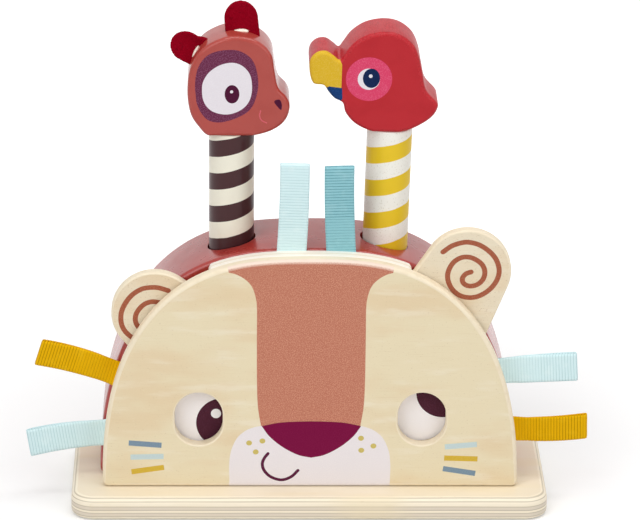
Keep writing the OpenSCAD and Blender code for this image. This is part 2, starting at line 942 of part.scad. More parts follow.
module felt_ear(ear) {
    color("#8c0017")
        in_bore(true)
            felt_layer(felt_t)
                difference() {
                    felt_shape(ear, felt_tuck, 0);
                    felt_arch(ear);
                }
}

module panda_upper_ear() {
    felt_ear(upper_ear);
}

module panda_side_ear() {
    felt_ear(side_ear);
}

// ---- Ribbons ----

// Half the distance between a loop's layers, from its root at 0 to its tip at 1
function loop_half(s) =
    let (t = max(0, (s - 0.1) / 0.9))
    ribbon_t / 2 + (loop_open - ribbon_t) / 2 * (3 * t * t - 2 * t * t * t);

// Outline of a loop seen from its edge, moved outward by half a layer or inward
function loop_outline(length, out, steps) =
    let (
        straight = length - loop_open / 2,
        upper = [for (i = [0:steps]) [straight * i / steps, loop_half(i / steps) + out]],
        tip = [
            for (k = [1:7])
                let (a = 90 - 180 * k / 8)
                [straight + (loop_open / 2 + out) * cos(a), (loop_open / 2 + out) * sin(a)]
        ],
        lower = [for (i = [steps:-1:0]) [straight * i / steps, -loop_half(i / steps) - out]]
    )
    concat(upper, tip, lower);

// Where the two layers part
loop_start = 4 * ribbon_t;

module ribbon(i, tint) {
    row = ribbon_rows[i];
    hair = 0.02;
    color(tint)
        translate([row[1], block_front_y - ribbon_t - hair, base_t + row[2]])
            rotate([0, -row[3], 0])
                translate([0, 0, -ribbon_w / 2])
                    linear_extrude(height = ribbon_w)
                        difference() {
                            polygon(concat(
                                loop_outline(row[4], ribbon_t / 2, 14),
                                [[-row[5], -ribbon_t], [-row[5], ribbon_t]]
                            ));
                            translate([loop_start, 0])
                                polygon(loop_outline(row[4] - loop_start, 0.02 - ribbon_t / 2, 14));
                        }
}

module ribbon_left_upper() {
    ribbon(0, "#ddaa05");
}

module ribbon_left_lower() {
    ribbon(1, "#cfe8ea");
}

module ribbon_right_upper() {
    ribbon(2, "#cfe8ea");
}

module ribbon_right_lower() {
    ribbon(3, "#ddaa05");
}

module ribbon_top_left() {
    ribbon(4, "#cfe8ea");
}

module ribbon_top_right() {
    ribbon(5, "#8fc0c8");
}

base_plate();
base_screws();
body_block();
face_plate();
top_spacer();
bottom_spacer();
left_side_spacer();
right_side_spacer();
spacer_dowels();
left_ear_lever();
right_ear_lever();
left_pivot_pin();
right_pivot_pin();
left_pivot_washers();
right_pivot_washers();
left_spring();
right_spring();
left_peg();
right_peg();
left_peg_collar();
right_peg_collar();
left_collar_screw();
right_collar_screw();
left_neck_dowel();
right_neck_dowel();
red_panda_head();
parrot_head();
panda_upper_ear();
panda_side_ear();
ribbon_left_upper();
ribbon_left_lower();
ribbon_right_upper();
ribbon_right_lower();
ribbon_top_left();
ribbon_top_right();
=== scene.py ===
"""Looks of a wooden pop-up animal toy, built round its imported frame.

The frame is the CAD model: +X to the right, +Y to the back, +Z up, origin under the middle of the base.
Lengths in this file are millimetres, and one function turns a finished mesh to metres.
Heights written as "above the base" are measured from the top of the base plate.
"""
import logging
import math
from collections.abc import Iterable, Sequence
from dataclasses import dataclass, field, replace
from enum import Enum

import bmesh
import bpy
import numpy as np
from mathutils import Matrix, Vector
from mathutils.geometry import delaunay_2d_cdt


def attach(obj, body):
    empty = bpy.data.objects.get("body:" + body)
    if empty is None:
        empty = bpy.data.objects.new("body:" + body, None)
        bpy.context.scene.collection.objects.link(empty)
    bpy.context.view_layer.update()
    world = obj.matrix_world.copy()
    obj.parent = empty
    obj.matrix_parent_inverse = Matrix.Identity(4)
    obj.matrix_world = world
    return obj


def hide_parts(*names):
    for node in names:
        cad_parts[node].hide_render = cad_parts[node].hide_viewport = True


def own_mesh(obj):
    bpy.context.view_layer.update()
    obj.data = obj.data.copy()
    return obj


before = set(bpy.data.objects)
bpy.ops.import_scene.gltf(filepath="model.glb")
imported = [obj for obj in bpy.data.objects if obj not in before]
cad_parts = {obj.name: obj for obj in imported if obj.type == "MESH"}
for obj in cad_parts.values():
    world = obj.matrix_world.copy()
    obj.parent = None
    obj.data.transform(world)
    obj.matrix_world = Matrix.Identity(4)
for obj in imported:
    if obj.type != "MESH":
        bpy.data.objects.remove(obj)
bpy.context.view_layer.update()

LOG = logging.getLogger("toy")
MM = 0.001

# Layers along Y, front to back, and heights above the base, as the source has them
BASE_TOP = 12.0
FACE_FRONT = -31.5
FACE_BACK = -24.5
BLOCK_FRONT = -15.5
BLOCK_BACK = 31.5
BLOCK_MID = 8.0
LEVER_FRONT = -23.0
LEVER_DEPTH = 6.0
ARCH_HALF_W = 106.8
ARCH_H = 124.3
SIDE_POWER = 2.8
CROWN_POWER = 2.25
RIBBON_INSET = 0.8

# Points closer than this are one point
SAME_SPOT = 1e-6

Points = np.ndarray
Pair = tuple[float, float]
Colour = tuple[float, float, float, float]
Cell = float | tuple[float, float, float]


def arch_height(x: float) -> float:
    """Height of the arch above the base at x."""
    return ARCH_H * (1 - (abs(x) / ARCH_HALF_W) ** SIDE_POWER) ** (1 / CROWN_POWER)


def arch_reach(z: float) -> float:
    """How far the arch stands from its middle line at height z above the base."""
    return ARCH_HALF_W * (1 - (z / ARCH_H) ** CROWN_POWER) ** (1 / SIDE_POWER)


# The pegs and their bores, which stand a little left of the middle
PEG_X = 39.0
PEG_SHIFT = -0.8
BORE_TOP = arch_height(PEG_X - PEG_SHIFT)
GUIDE_MID = BORE_TOP - 22.5
SHOULDER = BORE_TOP - 45.0
HEAD_BOTTOM = BORE_TOP + 60.0
RIGHT_RISE = 2.0
RIGHT_LEAN = math.radians(1.5)


class Side(Enum):
    """The left or the right half of the toy, as its face is looked at."""

    LEFT = -1
    RIGHT = 1

    @property
    def word(self) -> str:
        """The side as the CAD nodes name it."""
        return self.name.lower()

    @property
    def peg_x(self) -> float:
        """Where this side's peg and bore stand."""
        return self.value * PEG_X + PEG_SHIFT

    @property
    def rise(self) -> float:
        """How much longer this side's peg is than the left one."""
        return RIGHT_RISE if self is Side.RIGHT else 0.0

    @property
    def lean(self) -> float:
        """How far this side's peg leans in its bore, in radians."""
        return RIGHT_LEAN if self is Side.RIGHT else 0.0


# ---- Nodes and finishes ----


def to_linear(code: str) -> Colour:
    """Turns an sRGB hex colour to linear RGBA.

    Args:
        code: a colour such as "#a43a33".

    Returns:
        The linear colour with an alpha of 1.
    """
    parts = [int(code[i : i + 2], 16) / 255 for i in (1, 3, 5)]
    linear = [c / 12.92 if c <= 0.04045 else ((c + 0.055) / 1.055) ** 2.4 for c in parts]
    return (linear[0], linear[1], linear[2], 1.0)


def empty_tree(owner: bpy.types.Material | bpy.types.World) -> bpy.types.NodeTree:
    """Clears the node tree of a material or of the world, and returns it."""
    owner.use_nodes = True
    owner.node_tree.nodes.clear()
    return owner.node_tree


def add_node(tree: bpy.types.NodeTree, kind: str, inputs: dict | Sequence = (), **options: object) -> bpy.types.Node:
    """Adds one shader node with its settings and links.

    Args:
        tree: the node tree of a material or of the world.
        kind: the node's type name, without the word ShaderNode before it.
        inputs: values, sockets or nodes for its inputs, by name, by number or in their order.
        options: attribute values of the node.

    Returns:
        The new node.
    """
    node = tree.nodes.new(f"ShaderNode{kind}")
    for key, value in options.items():
        setattr(node, key, value)
    for key, value in inputs.items() if isinstance(inputs, dict) else enumerate(inputs):
        if isinstance(value, bpy.types.Node):
            value = value.outputs[0]
        if isinstance(value, bpy.types.NodeSocket):
            tree.links.new(value, node.inputs[key])
        else:
            node.inputs[key].default_value = value
    return node


def own_axes(tree: bpy.types.NodeTree) -> Sequence[bpy.types.NodeSocket]:
    """The piece's own coordinates in metres, as the sockets for X, Y and Z."""
    where = add_node(tree, "TexCoord").outputs["Object"]
    return add_node(tree, "SeparateXYZ", (where,)).outputs


def mottle(tree: bpy.types.NodeTree, cell: Cell, detail: float) -> bpy.types.NodeSocket:
    """Makes a random pattern of a real size from the piece's own coordinates.

    Args:
        tree: the material's node tree.
        cell: size of a patch in millimetres, the same every way or along X, Y and Z.
        detail: how much finer structure it has.

    Returns:
        The pattern's value, around 0.5.
    """
    where = add_node(tree, "TexCoord").outputs["Object"]
    scale = [1 / (float(c) * MM) for c in np.broadcast_to(cell, 3)]
    sized = add_node(tree, "Mapping", {"Vector": where, "Scale": scale})
    return add_node(tree, "TexNoise", {"Vector": sized, "Scale": 1.0, "Detail": detail}).outputs["Fac"]


def lay_over(
    tree: bpy.types.NodeTree,
    under: object,
    over: object,
    pattern: object,
    low: float,
    high: float,
    strength: float = 1.0,
) -> bpy.types.NodeSocket:
    """Lays one colour over another where a pattern rises.

    Args:
        tree: the material's node tree.
        under: the ground colour or its socket.
        over: the upper colour or its socket.
        pattern: the pattern's socket or node.
        low: the pattern's value at which the upper colour starts.
        high: the value from which it has its full strength.
        strength: that full strength, from 0 to 1.

    Returns:
        The mixed colour.
    """
    share = add_node(tree, "MapRange", (pattern, low, high, 0.0, strength), interpolation_type="SMOOTHSTEP")
    return add_node(tree, "Mix", {0: share, 6: under, 7: over}, data_type="RGBA").outputs[2]


@dataclass(frozen=True)
class Tone:
    """A second colour that lies over a ground in a soft random pattern.

    The pattern's patches are about cell millimetres in size. The colour starts where the pattern reaches
    low, and is there to its full strength at high.
    """

    colour: str
    cell: Cell
    low: float
    high: float
    strength: float = 1.0
    detail: float = 2.0


@dataclass(frozen=True)
class Relief:
    """A random relief of the surface: its cell size and its height, in millimetres."""

    cell: Cell
    height: float
    detail: float = 2.0


@dataclass(frozen=True)
class Finish:
    """What a surface is made of and how it was finished."""

    name: str
    colour: str
    roughness: float
    tones: tuple[Tone, ...]
    reliefs: tuple[Relief, ...]
    ior: float = 1.5
    specular: float = 0.4
    metallic: float = 0.0
    coat: float = 0.0
    coat_roughness: float = 0.12
    sheen: float = 0.0
    sheen_colour: str = "#ffffff"
    gloss_cell: Cell = 9.0
    gloss_change: float = 0.06

    def ground(self, tree: bpy.types.NodeTree) -> object:
        """The colour under the tones, as a value or a socket."""
        return to_linear(self.colour)

    def finished(self, tree: bpy.types.NodeTree, colour: object) -> object:
        """The colour once everything lies on the ground and its tones; here nothing more is laid on.

        Args:
            tree: the material's nodes.
            colour: the ground with its tones.

        Returns:
            The finish's colour, as a value or a socket.
        """
        return colour

    def material(self) -> bpy.types.Material:
        """Builds the finish's node material, once.

        Returns:
            The material, the same one each time.
        """
        known = bpy.data.materials.get(self.name)
        if known:
            return known
        material = bpy.data.materials.new(self.name)
        material.diffuse_color = to_linear(self.colour)
        tree = empty_tree(material)
        colour = self.ground(tree)
        for tone in self.tones:
            pattern = mottle(tree, tone.cell, tone.detail)
            colour = lay_over(tree, colour, to_linear(tone.colour), pattern, tone.low, tone.high, tone.strength)
        colour = self.finished(tree, colour)
        limits = max(self.roughness - self.gloss_change, 0.02), min(self.roughness + self.gloss_change, 1.0)
        gloss = add_node(tree, "MapRange", (mottle(tree, self.gloss_cell, 3.0), 0.3, 0.7, *limits))
        normal: dict[str, bpy.types.Node] = {}
        for relief in self.reliefs:
            height = mottle(tree, relief.cell, relief.detail)
            bump = {"Height": height, "Distance": relief.height * MM, "Strength": 1.0, **normal}
            normal = {"Normal": add_node(tree, "Bump", bump)}
        shader = add_node(
            tree,
            "BsdfPrincipled",
            {
                "Base Color": colour,
                "Roughness": gloss,
                "Metallic": self.metallic,
                "IOR": self.ior,
                "Specular IOR Level": self.specular,
                "Coat Weight": self.coat,
                "Coat Roughness": self.coat_roughness,
                "Sheen Weight": self.sheen,
                "Sheen Tint": to_linear(self.sheen_colour),
                **normal,
            },
        )
        add_node(tree, "OutputMaterial", (shader,))
        return material


@dataclass(frozen=True)
class LayeredPly(Finish):
    """Birch plywood that shows its veneers on a sanded and lacquered edge.

    The glue lines are thin dark bands at fixed depths through the board. The crossed veneers, given by their
    limits, show their end grain, which is a little darker. Glue and veneers waver a little.
    """

    axis: int = 2
    glue: str = "#b3a58e"
    cross: str = "#e0d4c2"
    lines: tuple[float, ...] = (1.9, 3.9, 5.4, 7.4, 10.0, 11.5)
    crossed: tuple[Pair, ...] = ((1.9, 3.9), (5.4, 7.4))
    line_width: float = 0.34
    line_core: float = 0.35
    glue_strength: float = 0.7
    blur: float = 0.2
    waver: float = 0.5

    def ground(self, tree: bpy.types.NodeTree) -> object:
        """The veneers and the glue lines between them, by depth through the board."""
        waver, height = mottle(tree, (60, 60, 4), 2.0), own_axes(tree)[self.axis]
        bent = add_node(tree, "Math", (waver, self.waver * MM, height), operation="MULTIPLY_ADD")
        layers = []
        for low, high in self.crossed:
            over = add_node(tree, "MapRange", (bent, low * MM, (low + self.blur) * MM), interpolation_type="SMOOTHSTEP")
            under = add_node(tree, "MapRange", (bent, high * MM, (high + self.blur) * MM, 1.0, 0.0))
            layers.append((add_node(tree, "Math", (over, under), operation="MULTIPLY"), self.cross))
        width = self.line_width * MM
        for line in self.lines:
            away = add_node(tree, "Math", (bent, (line + self.waver / 2) * MM), operation="SUBTRACT")
            far = add_node(tree, "Math", (away,), operation="ABSOLUTE")
            limits = (far, self.line_core * width, width, self.glue_strength, 0.0)
            layers.append((add_node(tree, "MapRange", limits), self.glue))
        colour: object = to_linear(self.colour)
        for share, paint in layers:
            colour = add_node(tree, "Mix", {0: share, 6: colour, 7: to_linear(paint)}, data_type="RGBA").outputs[2]
        return colour


@dataclass(frozen=True)
class SpiralPaint(Finish):
    """Two paints on a turned peg: one band that climbs the peg like a right-handed thread."""

    band: str = "#3a1f22"
    pitch: float = 17.6
    start: float = 0.0
    waver: float = 0.03
    blur: float = 0.006

    def finished(self, tree: bpy.types.NodeTree, colour: object) -> object:
        """The plain band over the ground paint, by angle and height in the peg's own frame."""
        x, y, height = own_axes(tree)
        angle = add_node(tree, "Math", (y, x), operation="ARCTAN2")
        turn = add_node(tree, "Math", (angle, -1 / math.tau), operation="MULTIPLY")
        climb = add_node(tree, "Math", (height, 1 / (self.pitch * MM), turn), operation="MULTIPLY_ADD")
        away = add_node(tree, "Math", (mottle(tree, 7, 1.0), self.waver, climb), operation="MULTIPLY_ADD")
        for operation, amount in (("ADD", self.start), ("FRACT", 0.0), ("SUBTRACT", 0.5), ("ABSOLUTE", 0.0)):
            away = add_node(tree, "Math", (away, amount), operation=operation)
        return lay_over(tree, to_linear(self.band), colour, away, 0.25 - self.blur, 0.25 + self.blur)


@dataclass(frozen=True)
class FadingInk(Finish):
    """Ink that thins out to bare wood where the board's front edge rounds away."""

    bare: str = "#f0dccc"
    full_y: float = FACE_FRONT - 0.05
    gone_y: float = FACE_FRONT + 0.3
    grit: float = 0.5

    def finished(self, tree: bpy.types.NodeTree, colour: object) -> object:
        """The speckled ink, mixed to bare wood by depth with a grainy limit."""
        depth = own_axes(tree)[1]
        rough = add_node(tree, "Math", (mottle(tree, self.grit, 1.0), self.grit * MM, depth), operation="MULTIPLY_ADD")
        return lay_over(tree, colour, to_linear(self.bare), rough, self.full_y * MM, (self.gone_y + self.grit) * MM)


# Birch has long, fine, low-contrast fibres and small pale flecks. Its fibres are drawn 0.5 mm wide, about
# twice the real width, so that they show.
BIRCH_TONES = (
    Tone("#e0c196", (55, 55, 20), 0.45, 0.72, 0.45, 3.0),
    Tone("#f4ebd8", (26, 26, 5), 0.52, 0.75, 0.4, 3.0),
    Tone("#ceb485", (15, 15, 0.5), 0.55, 0.85, 0.3, 3.0),
    Tone("#f4ebd4", (3.5, 3.5, 0.6), 0.6, 0.8, 0.3),
    Tone("#a8875a", (0.9, 0.9, 0.4), 0.74, 0.8, 0.35, 0.0),
)
BIRCH_RELIEF = (Relief((12, 12, 0.5), 0.012), Relief((2.2, 2.2, 0.7), 0.01))
# Sanded birch veneer under a matt clear lacquer: pale, faintly streaked and almost without shine
BIRCH_FACE = Finish("sanded_birch_veneer", "#e9dbb9", 0.5, BIRCH_TONES, BIRCH_RELIEF)
# The ears are cut from a paler, greyer sheet of the same veneer
BIRCH_LEVER = Finish("pale_birch_veneer", "#e9dcc2", 0.5, BIRCH_TONES, BIRCH_RELIEF)
# The routed edge of the same board is end grain that has been sanded smooth, so it is paler and plainer
BIRCH_EDGE = Finish("sanded_birch_edge", "#efe1c6", 0.5, (Tone("#e3d1af", 5, 0.5, 0.75, 0.4),), BIRCH_RELIEF)
# Birch ply 12 mm thick, lacquered satin: its sanded edge shows thin glue lines and two darker veneers
BIRCH_PLY = LayeredPly(
    "lacquered_birch_ply",
    "#f7ecd6",
    0.42,
    (
        Tone("#ecdcb8", (70, 12, 70), 0.45, 0.75, 0.5),
        Tone("#dcc9a2", (24, 0.6, 24), 0.58, 0.82, 0.25, 3.0),
        Tone("#c4a780", (6, 1.6, 0.5), 0.68, 0.82, 0.35, 2.0),
    ),
    (Relief((20, 0.6, 20), 0.01),),
)
# Its top face is the same veneer seen flat, with no layers; its colour, darker than the edge's, is painted shade
BIRCH_TOP = replace(BIRCH_PLY, name="lacquered_birch_ply_face", colour="#ede0c8", lines=(), crossed=())
# Bare birch of the hidden spacers and at the felt ears' slits: almost white, with long grain
BARE_BIRCH = Finish(
    "bare_birch_strip",
    "#fff6e6",
    0.6,
    (Tone("#e2d3b6", (26, 0.7, 26), 0.5, 0.72, 0.6, 3.0), Tone("#fffaf0", (12, 1.4, 12), 0.55, 0.8, 0.5)),
    (Relief((24, 0.7, 24), 0.02),),
)
# The crown strip is unpainted ply on edge: almost white, with its veneers drawn along the curve
CROWN_PLY = LayeredPly(
    "bare_birch_crown_ply",
    "#fffaf0",
    0.6,
    (Tone("#e9dcc2", (40, 0.5, 40), 0.5, 0.72, 0.45, 3.0),),
    (Relief((24, 0.7, 24), 0.02),),
    axis=1,
    glue="#d3c3a6",
    lines=(FACE_BACK + 1.7, FACE_BACK + 3.4, FACE_BACK + 5.1, FACE_BACK + 6.8),
    crossed=((FACE_BACK + 3.4, FACE_BACK + 5.1),),
    cross="#f3e9d8",
    line_width=0.3,
)
# Turned beech for dowels and collars: warm, short dark flecks
BEECH = Finish(
    "turned_beech", "#d9bb88", 0.5, (Tone("#b98f58", (0.6, 0.6, 3), 0.58, 0.7, 0.6),), (Relief((0.6, 0.6, 4), 0.01),)
)
# Brick-red enamel sprayed on solid wood, satin: the wood's grain barely telegraphs through
RED_ENAMEL = Finish(
    "satin_brick_red_enamel",
    "#a4332c",
    0.3,
    (Tone("#b24a40", 14, 0.5, 0.8, 0.3), Tone("#8a231f", (30, 30, 3), 0.55, 0.8, 0.25)),
    (Relief(1.8, 0.003), Relief((30, 30, 1.6), 0.02)),
    specular=0.3,
    coat=0.5,
    coat_roughness=0.18,
)
# Red-brown enamel on the panda's head, a little browner, with crisper highlights than the block's
PANDA_ENAMEL = Finish(
    "satin_russet_enamel",
    "#ac4239",
    0.35,
    (Tone("#a2382f", 9, 0.45, 0.75, 0.35), Tone("#b9544a", 1.1, 0.6, 0.8, 0.25)),
    (Relief(1.6, 0.004),),
    specular=0.15,
    coat=0.5,
    coat_roughness=0.07,
)
# Crimson enamel on the parrot's head, thinner and almost matt, with the grain's grit in it
PARROT_ENAMEL = Finish(
    "satin_crimson_enamel",
    "#b8202a",
    0.4,
    (Tone("#aa1a24", 9, 0.45, 0.75, 0.35), Tone("#c8484a", 0.5, 0.6, 0.75, 0.35)),
    (Relief(0.5, 0.03),),
    specular=0.2,
    coat=0.06,
    coat_roughness=0.2,
)
# On that head's sawn sides the enamel sinks into open grain, so that they look uneven
PARROT_SIDES = replace(
    PARROT_ENAMEL,
    name="satin_crimson_enamel_on_sawn_grain",
    tones=(Tone("#94141e", (0.9, 4, 0.9), 0.45, 0.7, 0.5), Tone("#cc4c50", (0.5, 1.2, 0.5), 0.56, 0.7, 0.35, 0.0)),
    reliefs=(Relief((0.6, 2.4, 0.6), 0.035),),
    roughness=0.42,
)


def ink(name: str, colour: str, fleck: str, strength: float = 0.5, cell: float = 0.42) -> Finish:
    """Screen-print ink, matt and a little uneven: the mesh of the screen leaves flecks of half a millimetre.

    Args:
        name: what the ink prints.
        colour: the ink's own colour.
        fleck: the colour of its flecks.
        strength: how strong the flecks are.
        cell: the size of the flecks in millimetres.

    Returns:
        The ink's finish.
    """
    tones = (Tone(fleck, cell, 0.5, 0.66, strength, 0.0),)
    return Finish(name, colour, 0.55, tones, (Relief(0.6, 0.01),), specular=0.1)


PANEL_INK = ink("brown_panel_ink", "#bd7660", "#e3ab8e", 0.62, 0.38)
PANEL_FADE = FadingInk("brown_panel_ink_thinning", "#bd7660", 0.5, PANEL_INK.tones, PANEL_INK.reliefs, specular=0.15)
NOSE_INK = ink("plum_nose_ink", "#76053c", "#841848", 0.6)
MUZZLE_INK = ink("white_muzzle_ink", "#ebe4e6", "#f4efed", 0.4)
MOUTH_INK = ink("plum_line_ink", "#571a3a", "#6a2a4a")
GOLD_INK = ink("gold_freckle_ink", "#ccb964", "#dccb88")
SLATE_INK = ink("slate_bar_ink", "#7990a3", "#93a5b0")
PALE_INK = ink("pale_blue_bar_ink", "#c3d5d6", "#d6e0dc")
MUSTARD_INK = ink("mustard_bar_ink", "#d4b03b", "#dec062")
SPIRAL_INK = ink("russet_spiral_ink", "#a2583f", "#b87a60")
EYE_WHITE_INK = ink("white_eye_ink", "#fdf8f8", "#fffdfd", 0.3)
EYE_PUPIL_INK = ink("aubergine_pupil_ink", "#4b1f2f", "#5c3044")
PATCH_INK = ink("purple_patch_ink", "#652a46", "#8d5573", 0.7, 0.5)
GLINT_INK = ink("bright_white_glint_ink", "#ffffff", "#ffffff", 0.0)
HEAD_WHITE_INK = ink("lilac_white_eye_ink", "#e6e0e6", "#efebef", 0.3)
HEAD_PUPIL_INK = ink("dark_plum_pupil_ink", "#480e2f", "#581d42", 0.3)
MOUTH_PINK_INK = ink("pink_mouth_ink", "#cf6068", "#d87a80", 0.3)
RING_INK = ink("pink_ring_ink", "#d84267", "#e2688a", 0.5)
NAVY_INK = ink("navy_pupil_ink", "#0c214a", "#1a3466", 0.3)
BEAK_INK = ink("yellow_beak_ink", "#d9b02a", "#e3c257", 0.4)
BEAK_BLUE_INK = ink("blue_beak_ink", "#10386f", "#2a5088", 0.4)

# Two coats on a turned beech peg, satin. The bands are masked and sprayed, so their limits are crisp.
BROWN_STRIPES = SpiralPaint(
    "cream_and_brown_spiral_paint",
    "#efebda",
    0.36,
    (Tone("#e6e0c8", (5, 5, 12), 0.5, 0.8, 0.15),),
    (Relief((3, 3, 0.8), 0.003),),
    specular=0.2,
    coat=0.1,
    coat_roughness=0.2,
    gloss_change=0.02,
    band="#422225",
    start=0.285,
)
YELLOW_STRIPES = SpiralPaint(
    "white_and_yellow_spiral_paint",
    "#f5f3ea",
    0.45,
    (Tone("#cdc6b4", (0.6, 0.6, 0.8), 0.66, 0.74, 0.45, 0.0), Tone("#fffdf6", (2.5, 2.5, 6), 0.55, 0.75, 0.3)),
    (Relief(0.9, 0.03),),
    specular=0.2,
    coat=0.08,
    gloss_change=0.02,
    band="#e8c424",
    start=0.5,
)

# Wool felt, dyed crimson: matted fibres with a soft bloom at its rim. The fibres are drawn 0.3 mm thick.
CRIMSON_FELT = Finish(
    "crimson_wool_felt",
    "#8b0018",
    0.95,
    (Tone("#a5122c", 0.35, 0.5, 0.7, 0.6, 3.0), Tone("#5e000f", 1.6, 0.55, 0.75, 0.5)),
    (Relief(0.3, 0.12, 4.0), Relief(1.4, 0.15)),
    specular=0.05,
    sheen=0.12,
    sheen_colour="#c8304a",
)


def grosgrain(name: str, colour: str, groove: str, pale: str) -> tuple[Finish, Finish]:
    """Polyester grosgrain ribbon: heavy ribs with narrow grooves between them, both in the mesh.

    Args:
        name: the ribbon's colour in words.
        colour: the colour of its ribs.
        groove: a darker copy of the rib colour for the faces down in the grooves: painted shade.
        pale: the colour where the threads catch the light.

    Returns:
        The finish of the ribs and the finish of the grooves, which carries the painted shade.
    """
    threads = (Relief(0.3, 0.03),)
    tones = (Tone(groove, 0.4, 0.55, 0.8, 0.3, 1.0), Tone(pale, 6, 0.5, 0.8, 0.35))
    ribs = Finish(name, colour, 0.6, tones, threads, specular=0.08)
    return ribs, Finish(f"{name}_groove", groove, 0.8, tones[1:], threads, specular=0.05)


# Each ribbon: its rib colour, the darker colour of its grooves, which is painted shade, and its pale painted highlight
RIBBON_FINISHES = {
    "yellow": grosgrain("yellow_grosgrain", "#eab400", "#b88a00", "#f4c520"),
    "light_blue": grosgrain("light_blue_grosgrain", "#d9f2f5", "#bfdde0", "#e8f9fa"),
    "teal": grosgrain("teal_grosgrain", "#92c8d1", "#5f97a4", "#aed9df"),
}
# Zinc-plated steel: dull silver with a slightly mottled plating
ZINC = Finish(
    "zinc_plated_steel", "#b9bcc0", 0.34, (Tone("#a5a9b0", 1.5, 0.5, 0.75, 0.5),), (Relief(0.8, 0.004),), metallic=1.0
)
# Drawn spring wire, bright
SPRING_WIRE = Finish(
    "drawn_spring_wire",
    "#a9adb0",
    0.25,
    (Tone("#8d9194", (0.6, 0.6, 3), 0.5, 0.75, 0.5),),
    (Relief((0.3, 0.3, 3), 0.003),),
    metallic=1.0,
)
# Natural nylon, moulded: milky and waxy
NYLON = Finish("moulded_nylon", "#e8e6dc", 0.45, (Tone("#dcd9cc", 2, 0.5, 0.8, 0.4),), (Relief(1, 0.004),), ior=1.53)


# ---- Curves and outlines ----


def smooth(knots: Sequence, steps: int, closed: bool = True) -> Points:
    """Runs a smooth curve through knots.

    Args:
        knots: the points that it passes, in order.
        steps: how many points it has from one knot to the next.
        closed: whether it returns to its first knot.

    Returns:
        The curve's points.
    """
    p = np.asarray(knots, float)
    if not closed:
        p = np.vstack([2 * p[0] - p[1], p, 2 * p[-1] - p[-2]])
    n = len(p)
    spans = range(n) if closed else range(1, n - 2)
    t = (np.arange(steps) / steps)[:, None]
    out = []
    for i in spans:
        a, b, c, d = p[(i - 1) % n], p[i], p[(i + 1) % n], p[(i + 2) % n]
        out.append(0.5 * (2 * b + (c - a) * t + (2 * a - 5 * b + 4 * c - d) * t**2 + (3 * b - a - 3 * c + d) * t**3))
    if not closed:
        out.append(p[-2][None, :])
    return np.vstack(out)


def travelled(path: Points) -> np.ndarray:
    """The distance along an open path at each of its points."""
    return np.concatenate([[0], np.cumsum(np.linalg.norm(np.diff(path, axis=0), axis=1))])


def spots_at(path: Points, distances: np.ndarray) -> Points:
    """The points of an open path at some distances along it."""
    along = travelled(path)
    return np.column_stack([np.interp(distances, along, path[:, k]) for k in (0, 1)])


def unit(rows: Points) -> Points:
    """Vectors of length one in the same directions."""
    return rows / np.linalg.norm(rows, axis=1)[:, None]


def arc(rx: float, rz: float, angles: np.ndarray) -> Points:
    """Points of an ellipse about the origin at some angles in radians."""
    return np.column_stack([rx * np.cos(angles), rz * np.sin(angles)])


def respaced(loop: Points, step: float, corner: float = 25.0) -> Points:
    """Spaces a closed outline's points evenly and keeps its sharp corners.

    Args:
        loop: the outline's points.
        step: about how far apart the new points are.
        corner: turn in degrees from which a point counts as a corner.

    Returns:
        The new outline.
    """
    loop = loop[np.linalg.norm(loop - np.roll(loop, 1, 0), axis=1) > SAME_SPOT]
    back, ahead = loop - np.roll(loop, 1, 0), np.roll(loop, -1, 0) - loop
    turn = np.arctan2(back[:, 0] * ahead[:, 1] - back[:, 1] * ahead[:, 0], (back * ahead).sum(1))
    marks = list(np.flatnonzero(np.degrees(np.abs(turn)) > corner)) or [0]
    out = []
    for k, first in enumerate(marks):
        count = (marks[(k + 1) % len(marks)] - first) % len(loop) or len(loop)
        run = loop[[(first + j) % len(loop) for j in range(count + 1)]]
        length = travelled(run)[-1]
        out.append(spots_at(run, np.linspace(0, length, max(round(length / step), 1) + 1)[:-1]))
    return np.vstack(out)


def counter_clockwise(loop: Points) -> Points:
    """The outline, turned round if it runs clockwise."""
    after = np.roll(loop, -1, 0)
    area = (loop[:, 0] * after[:, 1] - loop[:, 1] * after[:, 0]).sum()
    return loop if area > 0 else loop[::-1]


def ellipse(x: float, z: float, rx: float, rz: float, count: int = 72) -> Points:
    """An ellipse about (x, z)."""
    return arc(rx, rz, np.linspace(0, math.tau, count, endpoint=False)) + [x, z]


def stroke(path: Points, half: float, round_ends: bool = True) -> Points:
    """The outline of a pen stroke of one width.

    Args:
        path: the stroke's middle line.
        half: half its width.
        round_ends: whether its ends are round, not square.

    Returns:
        The closed outline.
    """
    path = np.asarray(path, float)
    along = unit(np.gradient(path, axis=0))
    side = np.column_stack([-along[:, 1], along[:, 0]]) * half
    left, right = path + side, (path - side)[::-1]
    if not round_ends:
        return np.vstack([left, right])
    a = np.linspace(0, math.pi, 10)[1:-1, None]
    end = path[-1] + np.cos(a) * side[-1] + np.sin(a) * along[-1] * half
    start = path[0] - np.cos(a) * side[0] - np.sin(a) * along[0] * half
    return np.vstack([left, end, right, start])


def within(loop: Points, points: Points) -> np.ndarray:
    """Which points lie inside a closed outline.

    Args:
        loop: the outline.
        points: the points to test.

    Returns:
        One truth value a point.
    """
    inside = np.zeros(len(points), bool)
    x, z = points[:, 0], points[:, 1]
    for (ax, az), (bx, bz) in zip(loop, np.roll(loop, -1, 0)):
        if az == bz:
            continue
        crosses = (az > z) != (bz > z)
        inside ^= crosses & (x < (bx - ax) * (z - az) / (bz - az) + ax)
    return inside


